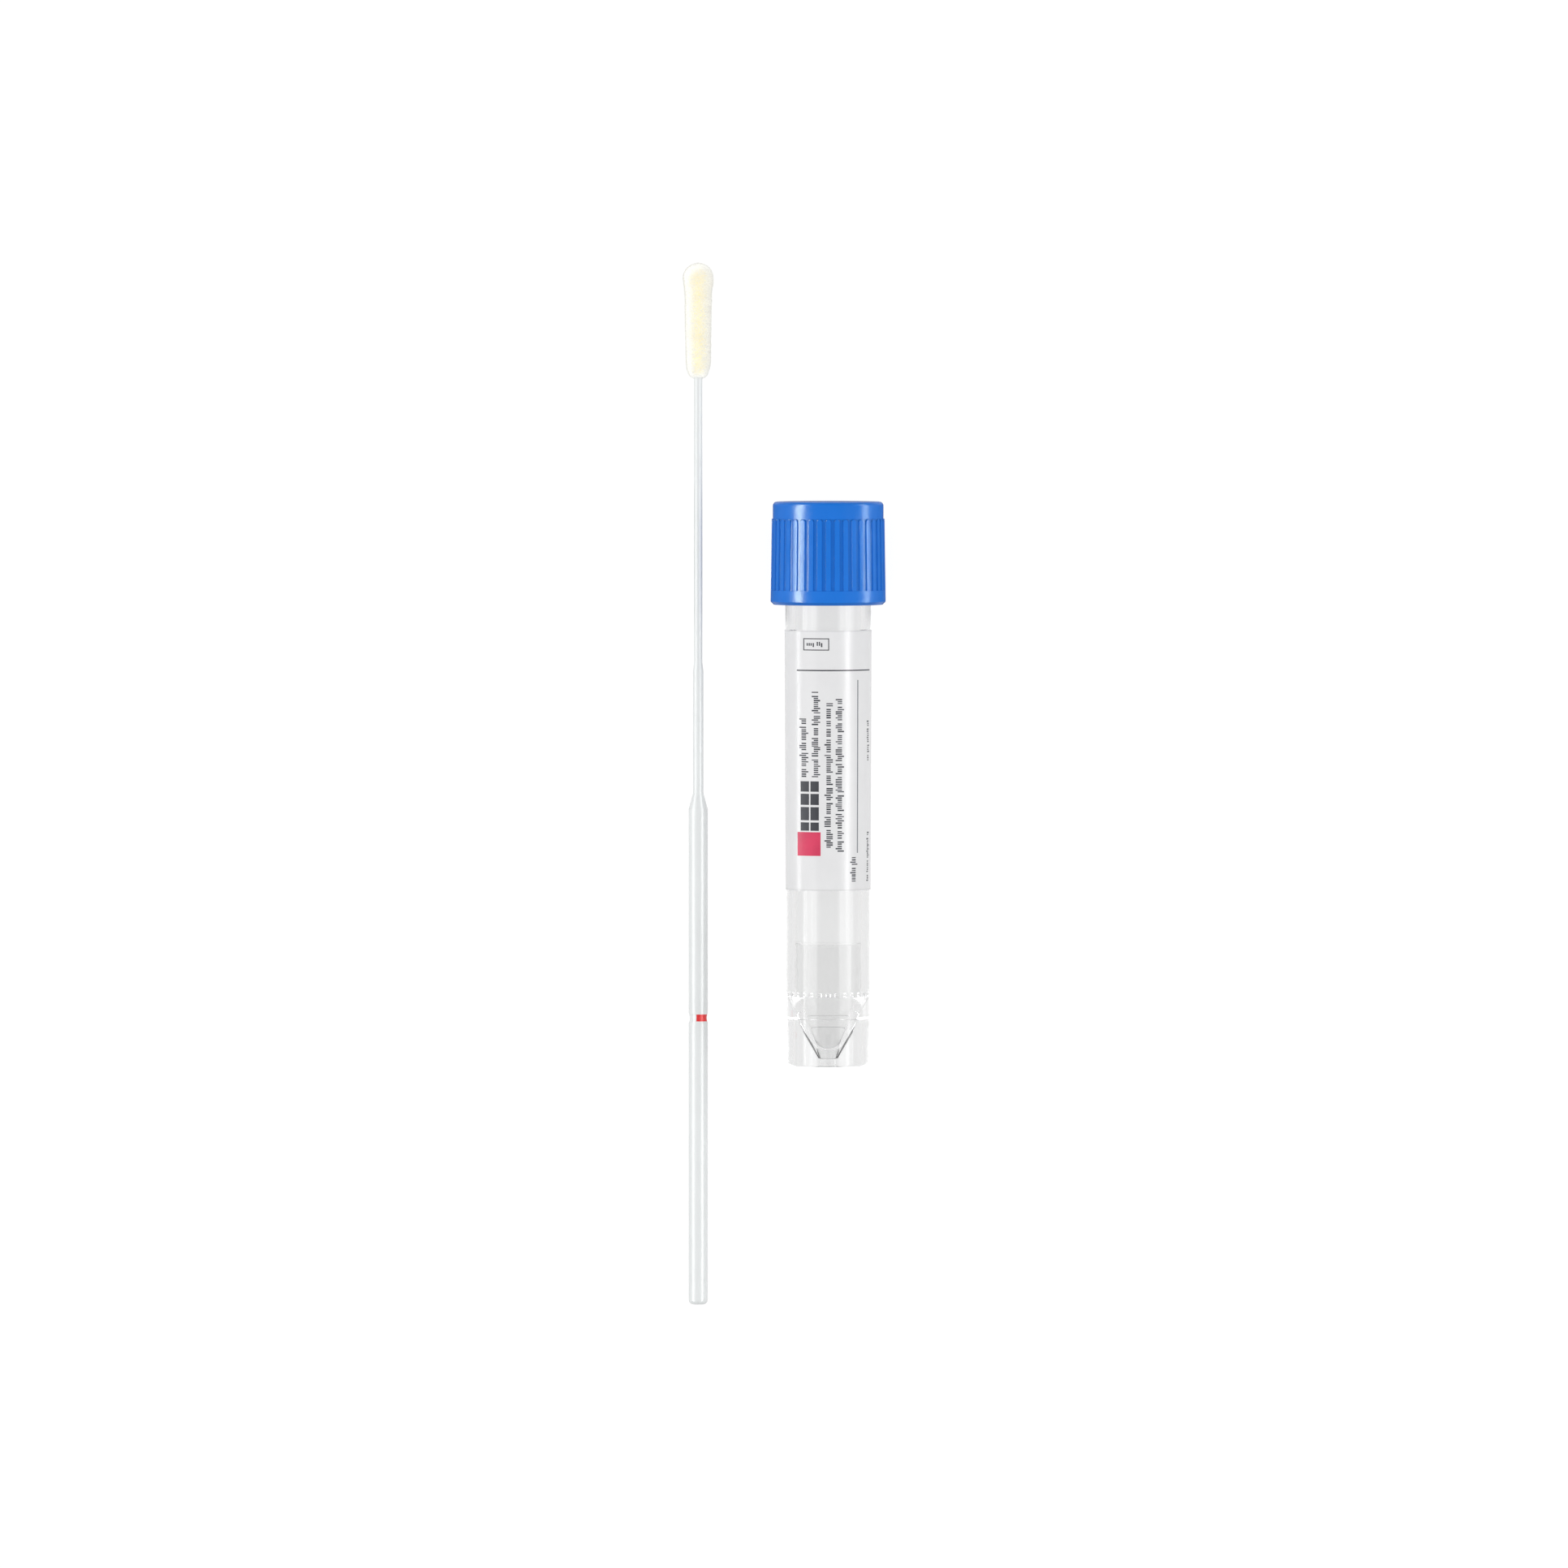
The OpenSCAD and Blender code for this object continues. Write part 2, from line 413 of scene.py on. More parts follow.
class Bench:
    """Lays nodes in one tree and joins them."""

    def __init__(self, tree: bpy.types.NodeTree) -> None:
        """Takes the tree to work in."""
        self.tree = tree

    def join(self, source: object, target: bpy.types.NodeSocket) -> None:
        """Joins a value or a socket to an input."""
        socket = source.socket if isinstance(source, Value) else source
        self.tree.links.new(socket, target)

    def put(
        self,
        kind: str,
        feeds: dict[str | int, object] | None = None,
        **settings: object,
    ) -> bpy.types.Node:
        """Adds a node.

        Args:
            kind: The node's type.
            feeds: What each input holds: a value or socket to join, or a constant.
            **settings: The node's own settings.

        Returns:
            The node.
        """
        node = self.tree.nodes.new(kind)
        for name, value in settings.items():
            setattr(node, name, value)
        for key, value in (feeds or {}).items():
            if isinstance(value, (Value, bpy.types.NodeSocket)):
                self.join(value, node.inputs[key])
            else:
                node.inputs[key].default_value = value
        return node

    def read(self, kind: str, output: str | int, **settings: object) -> "Value":
        """Adds a node that takes nothing, and reads one of its outputs.

        Args:
            kind: The node's type.
            output: The output's name or number.
            **settings: The node's own settings.

        Returns:
            The output's value.
        """
        return Value(self, self.put(kind, **settings).outputs[output])

    def split(self, vector: "Value") -> tuple["Value", "Value", "Value"]:
        """Splits a vector into its three numbers."""
        parts = self.put("ShaderNodeSeparateXYZ", {0: vector}).outputs
        return Value(self, parts[0]), Value(self, parts[1]), Value(self, parts[2])

    def math(self, operation: str, *terms: object, clamp: bool = False) -> "Value":
        """Works out one number from others.

        Args:
            operation: The operation of the Math node.
            *terms: Its constants, values or sockets.
            clamp: Whether the result stays from 0 to 1.

        Returns:
            The result.
        """
        feeds = dict(enumerate(terms))
        node = self.put("ShaderNodeMath", feeds, operation=operation, use_clamp=clamp)
        return Value(self, node.outputs[0])

    def spread(
        self,
        value: object,
        low: object,
        high: object,
        to_low: object,
        to_high: object,
        shape: str = "SMOOTHSTEP",
    ) -> "Value":
        """Maps one range on another.

        Args:
            value: The number to map.
            low: Where the range starts.
            high: Where it ends.
            to_low: The result at its start.
            to_high: The result at its end.
            shape: How the result runs from one to the other.

        Returns:
            The result.
        """
        feeds = dict(enumerate((value, low, high, to_low, to_high)))
        node = self.put("ShaderNodeMapRange", feeds, interpolation_type=shape)
        return Value(self, node.outputs[0])

    def colours(
        self, share: object, first: object, second: object
    ) -> bpy.types.NodeSocket:
        """Mixes two colours.

        Args:
            share: How much of the second colour there is.
            first: The colour at 0.
            second: The colour at 1.

        Returns:
            The socket with the mixed colour.
        """
        node = self.put(
            "ShaderNodeMix", {0: share, 6: first, 7: second}, data_type="RGBA"
        )
        return node.outputs[2]

    def marked(
        self, geometry: bpy.types.NodeSocket, name: str, value: "Value"
    ) -> bpy.types.NodeSocket:
        """Stores a number on the points of a geometry.

        Args:
            geometry: The geometry.
            name: The attribute's name.
            value: The number.

        Returns:
            The socket with the geometry and its new attribute.
        """
        node = self.put(
            "GeometryNodeStoreNamedAttribute",
            {"Geometry": geometry, "Name": name, "Value": value},
            data_type="FLOAT",
            domain="POINT",
        )
        return node.outputs[0]

    def dress(self, geometry: bpy.types.NodeSocket, material: object) -> None:
        """Ends a geometry tree: real geometry in one material goes out.

        Args:
            geometry: The geometry.
            material: The material, or the socket that gives it.
        """
        real = self.put("GeometryNodeRealizeInstances", {"Geometry": geometry})
        dressed = self.put(
            "GeometryNodeSetMaterial",
            {"Geometry": real.outputs[0], "Material": material},
        )
        self.put("NodeGroupOutput", {0: dressed.outputs[0]})


@dataclass(frozen=True)
class Value:
    """A value in a node tree. Sums with it add Math nodes to the tree."""

    bench: Bench
    socket: bpy.types.NodeSocket

    def __add__(self, other: object) -> "Value":
        """The sum of both."""
        return self.bench.math("ADD", self, other)

    def __sub__(self, other: object) -> "Value":
        """This value less the other."""
        return self.bench.math("SUBTRACT", self, other)

    def __rsub__(self, other: object) -> "Value":
        """The other value less this."""
        return self.bench.math("SUBTRACT", other, self)

    def __mul__(self, other: object) -> "Value":
        """The product of both."""
        return self.bench.math("MULTIPLY", self, other)

    def __truediv__(self, other: object) -> "Value":
        """This value divided by the other."""
        return self.bench.math("DIVIDE", self, other)

    def __gt__(self, other: object) -> "Value":
        """Whether this value is the greater, as 1 or 0."""
        return self.bench.math("GREATER_THAN", self, other)

    def __lt__(self, other: object) -> "Value":
        """Whether this value is the smaller, as 1 or 0."""
        return self.bench.math("LESS_THAN", self, other)

    def __abs__(self) -> "Value":
        """This value without its sign."""
        return self.bench.math("ABSOLUTE", self)

    def most(self, other: object) -> "Value":
        """The greater of both."""
        return self.bench.math("MAXIMUM", self, other)


def new_tree(
    name: str, kind: str, inputs: dict[str, float | str], outputs: dict[str, str]
) -> tuple[Bench, dict[str, Value]]:
    """Starts a node tree that others call.

    Args:
        name: The tree's name.
        kind: The tree's type.
        inputs: For each input its usual number, or else the type of its socket.
        outputs: For each output the type of its socket.

    Returns:
        The tree's bench, and what comes in by name.
    """
    tree = bpy.data.node_groups.new(name, kind)
    for label, given in inputs.items():
        typed = isinstance(given, str)
        socket = tree.interface.new_socket(
            label, in_out="INPUT", socket_type=given if typed else NUMBER_SOCKET
        )
        if not typed:
            socket.default_value = given
    for label, socket_type in outputs.items():
        tree.interface.new_socket(label, in_out="OUTPUT", socket_type=socket_type)
    bench = Bench(tree)
    entry = bench.put("NodeGroupInput").outputs
    return bench, {label: Value(bench, entry[label]) for label in inputs}


class SurfaceGroups:
    """The shader node groups that several finishes share."""

    def __init__(self) -> None:
        """Builds both groups."""
        self.grain = self._grain()
        self.specks = self._specks()

    @staticmethod
    def _grain() -> bpy.types.NodeTree:
        """The grain of a moulded or coated surface, with slow changes across it.

        Returns:
            The group, which puts out Height and Mottle.
        """
        bench, given = new_tree(
            "moulded_grain",
            "ShaderNodeTree",
            {"Grain Per Metre": 9000.0, "Mottle Per Metre": 300.0},
            {"Height": NUMBER_SOCKET, "Mottle": NUMBER_SOCKET},
        )
        place = bench.read("ShaderNodeTexCoord", "Object")
        out = bench.put("NodeGroupOutput")
        for label, scale, detail in (
            ("Height", given["Grain Per Metre"], 2.0),
            ("Mottle", given["Mottle Per Metre"], 3.0),
        ):
            noise = bench.put(
                "ShaderNodeTexNoise",
                {"Vector": place, "Scale": scale, "Detail": detail},
            )
            level = bench.spread(noise.outputs[0], 0.3, 0.7, 0, 1)
            bench.join(level, out.inputs[label])
        return bench.tree

    @staticmethod
    def _specks() -> bpy.types.NodeTree:
        """Small round specks strewn over a surface, such as dust or filler.

        Returns:
            The group, which puts out Mask.
        """
        bench, given = new_tree(
            "fine_specks",
            "ShaderNodeTree",
            {"Specks Per Metre": 4000.0, "Size": 0.25},
            {"Mask": NUMBER_SOCKET},
        )
        place = bench.read("ShaderNodeTexCoord", "Object")
        scale, size = given["Specks Per Metre"], given["Size"]
        cells = bench.put("ShaderNodeTexVoronoi", {"Vector": place, "Scale": scale})
        mask = bench.spread(cells.outputs["Distance"], size * 0.6, size, 1, 0)
        bench.put("NodeGroupOutput", {0: mask})
        return bench.tree


def shaded(colour: Colour, share: float) -> Colour:
    """A colour made lighter or darker.

    Args:
        colour: The colour.
        share: What its channels are multiplied by.

    Returns:
        The colour, with no channel above 1.
    """
    red, green, blue = (min(channel * share, 1.0) for channel in colour[:3])
    return red, green, blue, 1.0


@dataclass(frozen=True)
class Finish:
    """What every finish holds: the material's name and its main colour."""

    name: str
    colour: Colour

    def start(self) -> tuple[bpy.types.Material, Bench, bpy.types.Node]:
        """Starts the material.

        Returns:
            The material, its bench and its Principled shader.
        """
        made = bpy.data.materials.new(self.name)
        made.use_nodes = True
        made.diffuse_color = self.colour
        bench = Bench(made.node_tree)
        shader = made.node_tree.nodes["Principled BSDF"]
        shader.inputs["Base Color"].default_value = self.colour
        return made, bench, shader


@dataclass(frozen=True)
class Moulded(Finish):
    """An opaque moulded plastic with a fine grain and faint mottling, and painted shade
    where its mesh stores a shade attribute.
    """

    roughness: float = 0.3
    roughness_spread: float = 0.06
    ior: float = 1.49
    tint: float = 0.04
    grain_per_metre: float = 9000
    mottle_per_metre: float = 300
    grain_mm: float = 0.004
    specks_per_metre: float = 5000
    speck_size: float = 0.2
    speck_mm: float = 0.004
    specular: float = 0.5
    painted_shade_dark: float = 0.0
    painted_shade_span: tuple[float, float] = (0.0, 3.0)

    def make(self, groups: SurfaceGroups) -> bpy.types.Material:
        """Makes the material.

        Args:
            groups: The shared node groups.

        Returns:
            The material.
        """
        made, bench, shader = self.start()
        grain = bench.put("ShaderNodeGroup", node_tree=groups.grain)
        grain.inputs[0].default_value = self.grain_per_metre
        grain.inputs[1].default_value = self.mottle_per_metre
        mottle = Value(bench, grain.outputs["Mottle"])
        specks = bench.put("ShaderNodeGroup", node_tree=groups.specks)
        specks.inputs[0].default_value = self.specks_per_metre
        specks.inputs[1].default_value = self.speck_size
        shade = bench.colours(
            mottle,
            shaded(self.colour, 1 - self.tint),
            shaded(self.colour, 1 + self.tint),
        )
        # Painted shade: the colour darkens where the mesh's shade attribute rises through
        # the given span.
        if self.painted_shade_dark:
            low, high = self.painted_shade_span
            share = bench.math(
                "MULTIPLY_ADD",
                bench.read("ShaderNodeAttribute", "Fac", attribute_name=PAINTED_SHADE),
                1 / (high - low),
                -low / (high - low),
                clamp=True,
            )
            deep = shaded(self.colour, 1 - self.painted_shade_dark)
            shade = bench.colours(share, shade, deep)
        rough = bench.math(
            "MULTIPLY_ADD",
            mottle,
            self.roughness_spread,
            self.roughness - self.roughness_spread / 2,
        )
        raised = Value(bench, grain.outputs["Height"]) * self.grain_mm
        height = bench.math(
            "MULTIPLY_ADD", specks.outputs["Mask"], self.speck_mm, raised
        )
        bump = bench.put(
            "ShaderNodeBump", {"Strength": 1.0, "Distance": MM, "Height": height}
        )
        bench.join(shade, shader.inputs["Base Color"])
        bench.join(rough, shader.inputs["Roughness"])
        bench.join(bump.outputs[0], shader.inputs["Normal"])
        shader.inputs["IOR"].default_value = self.ior
        shader.inputs["Specular IOR Level"].default_value = self.specular
        return made


@dataclass(frozen=True)
class Clear(Finish):
    """A clear plastic or liquid that lets the lamps' light through."""

    ior: float = 1.27
    coat: float = 0.4
    coat_ior: float = 1.49
    coat_roughness: float = 0.012
    absorbed_per_metre: float = 10.0
    tint: float = 0.006
    mottle_per_metre: float = 700
    shadow: Colour = (0.97, 0.98, 0.98, 1.0)
    gloss_mask: str = ""

    def make(self, groups: SurfaceGroups) -> bpy.types.Material:
        """Makes the material. Shadow rays pass it, so that it stands in its own light.

        Its coat shines from outside only, and less where the gloss mask is low.

        Args:
            groups: The shared node groups.

        Returns:
            The material.
        """
        made, bench, shader = self.start()
        for label, value in (
            ("Transmission Weight", 1.0),
            ("IOR", self.ior),
            ("Coat Weight", self.coat),
            ("Coat IOR", self.coat_ior),
            ("Coat Roughness", self.coat_roughness),
            ("Roughness", 0.0),
        ):
            shader.inputs[label].default_value = value
        grain = bench.put("ShaderNodeGroup", node_tree=groups.grain)
        grain.inputs[1].default_value = self.mottle_per_metre
        shade = bench.colours(
            grain.outputs["Mottle"], shaded(self.colour, 1 - self.tint), self.colour
        )
        bench.join(shade, shader.inputs["Base Color"])
        gloss = (1.0 - bench.read("ShaderNodeNewGeometry", "Backfacing")) * self.coat
        if self.gloss_mask:
            name = self.gloss_mask
            mask = bench.read("ShaderNodeAttribute", "Fac", attribute_name=name)
            gloss = mask * gloss
        bench.join(gloss, shader.inputs["Coat Weight"])
        passing = bench.put("ShaderNodeBsdfTransparent", {"Color": self.shadow})
        ray = bench.read("ShaderNodeLightPath", "Is Shadow Ray")
        mix = bench.put(
            "ShaderNodeMixShader", {0: ray, 1: shader.outputs[0], 2: passing.outputs[0]}
        )
        out = made.node_tree.nodes["Material Output"]
        bench.join(mix.outputs[0], out.inputs["Surface"])
        dimming = bench.put(
            "ShaderNodeVolumeAbsorption",
            {"Color": (0, 0, 0, 1), "Density": self.absorbed_per_metre},
        )
        bench.join(dimming.outputs[0], out.inputs["Volume"])
        return made


class RibTree:
    """The Geometry Nodes tree that raises the ribs round the cap's wall."""

    INPUTS = {
        "Rib Count": 40.0,
        "Groove Width": 0.5,
        "Foot Height": 68.3,
        "Top Height": 78.55,
        "Foot Radius": 8.24,
        "Top Radius": 8.1,
        "Least Radius": 7.5,
        "Rim Height": 66.63,
        "Edge Rounding": 0.05,
    }
    HAIR = 0.001
    # Sizes of painted shade: a thin dark arc just above each rib's top, and a darker band
    # on the rim's bevel.
    ARCH_MIDDLE = 0.04
    ARCH_FADE = (0.03, 0.1)
    ARCH_PAINTED_SHADE = 2.2
    ARCH_START = 0.02
    BEVEL_PAINTED_SHADE = 1.5
    MERGE_DISTANCE = 0.0005

    def build(self) -> bpy.types.NodeTree:
        """Builds the tree. It also stores painted shade: the grooves, a thin arc above
        each rib's top and the rim's bevel are marked darker.

        Returns:
            The tree, with a named input for each size and one for the material.
        """
        bench, given = new_tree(
            "cap_ribs",
            "GeometryNodeTree",
            {"Geometry": GEOMETRY_SOCKET, **self.INPUTS, "Material": MATERIAL_SOCKET},
            {"Geometry": GEOMETRY_SOCKET},
        )
        top, foot = given["Top Height"], given["Foot Height"]
        round_r, edge = given["Top Radius"], given["Edge Rounding"]
        x, y, z = bench.split(bench.read("GeometryNodeInputPosition", 0))
        reach = bench.math("SQRT", bench.math("MULTIPLY_ADD", x, x, y * y))
        pitch = round_r * (2 * math.pi) / given["Rib Count"]
        around = bench.math("ARCTAN2", y, x) * round_r
        across = abs(bench.math("WRAP", around, pitch * -0.5, pitch * 0.5))
        half = (pitch - given["Groove Width"]) * 0.5
        above = (z - (top - half)).most(0.0)
        away = bench.math("MULTIPLY_ADD", across, across, above * above)
        outside = bench.math("SQRT", away) - half
        rib = bench.spread(outside, edge * -1.0, edge, 1, 0)
        line = bench.spread(z, foot, top, given["Foot Radius"], round_r, shape="LINEAR")
        outer = reach > given["Least Radius"]
        on_wall = outer * ((z > foot - self.HAIR) * (z < top + self.HAIR))
        raised = rib * on_wall * (line - reach)
        share = (reach + raised) / reach
        moved = bench.put("ShaderNodeCombineXYZ", {0: x * share, 1: y * share, 2: z})
        shaped = bench.put(
            "GeometryNodeSetPosition",
            {"Geometry": given["Geometry"], "Position": moved.outputs[0]},
        )
        # Painted shade, stored for the material: the grooves, a thin arc above each rib's
        # top and the rim's bevel below Rim Height.
        arch = bench.spread(
            abs(outside - self.ARCH_MIDDLE), *self.ARCH_FADE, self.ARCH_PAINTED_SHADE, 0.0
        )
        arch = arch * ((above > self.ARCH_START) * (z < top - self.HAIR))
        bevel = (z < given["Rim Height"]) * self.BEVEL_PAINTED_SHADE
        painted_shade_amount = ((1.0 - rib) * on_wall).most(arch.most(bevel) * outer)
        merged = bench.put(
            "GeometryNodeMergeByDistance",
            {
                "Geometry": bench.marked(shaped.outputs[0], PAINTED_SHADE, painted_shade_amount),
                "Distance": self.MERGE_DISTANCE,
            },
        )
        bench.dress(merged.outputs[0], given["Material"])
        return bench.tree


class FibreTree:
    """The Geometry Nodes tree that plants flock fibres on a surface."""

    INPUTS = {
        "Fibres Per Area": 250.0,
        "Fibre Length": 0.525,
        "Fibre Radius": 0.032,
        "Lean": 0.35,
    }
    SIDES = 3
    SIZES = (0.75, 1.0)

    def build(self) -> bpy.types.NodeTree:
        """Builds the tree. It also stores how far along its fibre each spot lies, which
        the material turns into painted shade at the fibre tips.

        Returns:
            The tree, with a named input for each size, the seed and the material.
        """
        bench, given = new_tree(
            "flock_fibres",
            "GeometryNodeTree",
            {
                "Geometry": GEOMETRY_SOCKET,
                **self.INPUTS,
                "Seed": "NodeSocketInt",
                "Material": MATERIAL_SOCKET,
            },
            {"Geometry": GEOMETRY_SOCKET},
        )
        spots = bench.put(
            "GeometryNodeDistributePointsOnFaces",
            {
                "Mesh": given["Geometry"],
                "Density": given["Fibres Per Area"],
                "Seed": given["Seed"],
            },
        )
        fibre = bench.put(
            "GeometryNodeMeshCone",
            {
                "Vertices": self.SIDES,
                "Radius Top": 0.0,
                "Radius Bottom": given["Fibre Radius"],
                "Depth": given["Fibre Length"],
            },
            fill_type="NONE",
        )
        height = bench.split(bench.read("GeometryNodeInputPosition", 0))[2]
        along = height / given["Fibre Length"]
        lean = bench.put(
            "FunctionNodeRandomValue", {"Seed": given["Seed"]}, data_type="FLOAT_VECTOR"
        )
        lean.inputs[0].default_value = (-1, -1, -1)
        lean.inputs[1].default_value = (1, 1, 1)
        leaning = bench.put(
            "ShaderNodeVectorMath",
            {0: lean.outputs[0], "Scale": given["Lean"]},
            operation="SCALE",
        )
        way = bench.put(
            "ShaderNodeVectorMath",
            {0: spots.outputs["Normal"], 1: leaning.outputs[0]},
            operation="ADD",
        )
        turned = bench.put(
            "FunctionNodeAlignRotationToVector", {"Vector": way.outputs[0]}, axis="Z"
        )
        size = bench.put(
            "FunctionNodeRandomValue", {"Seed": given["Seed"]}, data_type="FLOAT"
        )
        size.inputs[2].default_value, size.inputs[3].default_value = self.SIZES
        # The share along each fibre is stored under the shade attribute, for the painted
        # shade at the tips.
        placed = bench.put(
            "GeometryNodeInstanceOnPoints",
            {
                "Points": spots.outputs["Points"],
                "Instance": bench.marked(fibre.outputs["Mesh"], PAINTED_SHADE, along),
                "Rotation": turned.outputs[0],
                "Scale": size.outputs[1],
            },
        )
        bench.dress(placed.outputs[0], given["Material"])
        return bench.tree


def grown(
    mesh: bpy.types.Mesh, tree: bpy.types.NodeTree, values: dict[str, object]
) -> bpy.types.Mesh:
    """Runs a Geometry Nodes tree on an upright mesh.

    Args:
        mesh: The mesh that the tree starts from.
        tree: The tree.
        values: The tree's inputs, by name.

    Returns:
        The plain mesh that comes out.
    """
    carrier = bpy.data.objects.new("carrier", mesh)
    bpy.context.scene.collection.objects.link(carrier)
    modifier = carrier.modifiers.new("tree", "NODES")
    modifier.node_group = tree
    for item in tree.interface.items_tree:
        taken = item.item_type == "SOCKET" and item.in_out == "INPUT"
        if taken and item.name in values:
            modifier[item.identifier] = values[item.name]
    graph = bpy.context.evaluated_depsgraph_get()
    shown = carrier.evaluated_get(graph)
    made = bpy.data.meshes.new_from_object(shown, depsgraph=graph)
    carrier.modifiers.remove(modifier)
    bpy.data.objects.remove(carrier)
    return made


def settled(
    name: str,
    mesh: bpy.types.Mesh,
    lie: Lie,
    body: Body,
    material: bpy.types.Material,
    stands_for: str = "",
) -> bpy.types.Object:
    """Lays an upright mesh in the frame as a finished piece.

    Args:
        name: The piece's name.
        mesh: Its upright mesh, in millimetres.
        lie: Where it lies.
        body: The body that it rides on.
        material: Its material.
        stands_for: The CAD node that it replaces.

    Returns:
        The piece.
    """
    mesh.transform(lie.matrix())
    mesh.materials.clear()
    mesh.materials.append(material)
    mesh.name = name
    piece = bpy.data.objects.new(name, mesh)
    bpy.context.scene.collection.objects.link(piece)
    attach(piece, body.value)
    if stands_for:
        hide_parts(stands_for)
    LOG.info("%s: %d faces, rides on %s", name, len(mesh.polygons), body.value)
    return piece


@dataclass
class Thread:
    """A screw thread, as a ridge that runs round a wall."""

    start: float
    turns: float
    pitch: float
    height: float
    base: float
    crest: float
    fade: float = 0.08

    def relief(self, angles: np.ndarray, height: float) -> np.ndarray:
        """How far the ridge stands out of the wall.

        Args:
            angles: The angles round the wall, in radians.
            height: The height along the axis.

        Returns:
            The ridge's height at each angle.
        """
        part = angles / (2 * math.pi)
        turn = np.round((height - self.start) / self.pitch - part) + part
        away = np.abs(height - self.start - turn * self.pitch)
        shape = smooth_step(-away, -self.base / 2, -self.crest / 2)
        ends = smooth_step(turn, 0, self.fade)
        ends = ends * smooth_step(self.turns - turn, 0, self.fade)
        return self.height * shape * ends


@dataclass
class Tube:
    """The clear tube, its label with the print, and its medium."""

    lie: Lie
    groups: SurfaceGroups
    barrel_r: float = 6.0
    neck_r: float = 6.15
    bore_r: float = 4.8
    skirt_bore_r: float = 5.0
    mouth_z: float = 79.4
    foot_round: float = 0.35
    mouth_round: float = 0.2
    taper_z0: float = 24.3
    taper_z1: float = 63.6
    bore_floor_z: float = 2.45
    bore_gloss: float = 0.15
    bore_tip_r: float = 2.0
    bore_tip_angle: float = 25.0
    bore_tip_steps: int = 8
    bore_cone_z: float = 10.0
    bore_cone_round: float = 0.6
    cone_flat_r: float = 1.4
    cone_flat_z: float = 1.15
    cone_z: float = 7.27
    gate_r: float = 1.1
    gate_z: float = 0.2
    ticks: int = 24
    tick_z: float = 10.25
    tick_half: float = 0.25
    tick_height: float = 0.2
    tick_slope: Span = (-0.25, 0.15)
    tick_fade: Span = (-0.02, 0.08)
    tick_clear: float = 0.3
    tick_span: Span = (9.8, 10.8)
    tick_gap: float = 0.07
    thread_span: Span = (67.2, 77.8)
    thread_gap: float = 0.16
    columns: int = 240
    label_z0: float = 25.3
    label_z1: float = 62.6
    label_t: float = 0.1
    label_wrap: float = 340.0
    label_sink: float = 0.005
    label_drop: float = 0.4
    label_drop_span: Span = (95.0, 140.0)
    label_edge: float = 0.18
    label_fade: float = 0.04
    label_rows: int = 38
    label_columns: int = 181
    fill_z: float = 17.4
    meniscus: float = 0.1
    meniscus_reach: float = 0.07
    liquid_gap: float = 0.04
    liquid_columns: int = 128
    thread: Thread = field(
        default_factory=lambda: Thread(68.6, 2.5, 3.0, 0.5, 1.3, 0.5)
    )

    def barrel_at(self, height: float) -> float:
        """The barrel's outer radius at a height."""
        share = (height - self.taper_z0) / (self.taper_z1 - self.taper_z0)
        return self.barrel_r + (self.neck_r - self.barrel_r) * min(max(share, 0), 1)

    def wall_relief(
        self, angles: np.ndarray, radius: float, height: float
    ) -> np.ndarray:
        """The thread outside the neck, and the ring of ticks in the bore.

        Args:
            angles: The angles round the tube, in radians.
            radius: The wall's radius.
            height: The height above the foot.

        Returns:
            How far the wall stands out at each angle.
        """
        if radius > self.barrel_r + 0.05 and height < self.mouth_z - 1:
            return self.thread.relief(angles, height)
        away = abs(height - self.tick_z)
        if away < self.tick_half + 0.1 and radius < self.bore_r + 0.1:
            on = smooth_step(np.cos(angles * self.ticks), *self.tick_slope)
            edge = smooth_step(self.tick_half - away, *self.tick_fade)
            return -self.tick_height * on * edge
        return np.zeros(len(angles))

    def tip_arc(self, gap: float) -> list[Point]:
        """The bore's rounded tip, from the cone down to the axis.

        Args:
            gap: How far inside the bore's wall the arc runs.

        Returns:
            The arc's points, as radius and height.
        """
        first = math.radians(self.bore_tip_angle)
        centre, reach = self.bore_floor_z + self.bore_tip_r, self.bore_tip_r - gap
        arc = []
        for step in range(self.bore_tip_steps):
            turn = (math.pi / 2 - first) * step / self.bore_tip_steps + first
            arc.append((reach * math.cos(turn), centre - reach * math.sin(turn)))
        return [*arc, (0.0, self.bore_floor_z + gap)]

    def moulding_line(self) -> list[Point]:
        """The half section of the moulding, from under the gate to the bore's floor.

        Returns:
            The section's points, as radius and height.
        """
        outside = [
            (0, self.gate_z, 0),
            (self.gate_r, self.gate_z, 0.15),
            (self.gate_r, self.cone_flat_z, 0.1),
            (self.cone_flat_r, self.cone_flat_z, 0.1),
            (self.skirt_bore_r, self.cone_z, 0.18),
            (self.skirt_bore_r, 0, 0.12),
            (self.barrel_r, 0, self.foot_round),
            (self.barrel_r, self.taper_z0, 0),
            (self.neck_r, self.taper_z1, 0),
            (self.neck_r, self.mouth_z, self.mouth_round),
            (self.bore_r, self.mouth_z, self.mouth_round),
            (self.bore_r, self.bore_cone_z, self.bore_cone_round),
            (*self.cone_end(), 0),
        ]
        line = rounded(outside) + self.tip_arc(0)[1:]
        line = refined(line, *self.thread_span, self.thread_gap)
        return refined(line, *self.tick_span, self.tick_gap)

    def cone_end(self) -> Point:
        """Radius and height where the bore's cone meets its rounded tip."""
        angle = math.radians(self.bore_tip_angle)
        return (
            self.bore_tip_r * math.cos(angle),
            self.bore_floor_z + self.bore_tip_r * (1 - math.sin(angle)),
        )

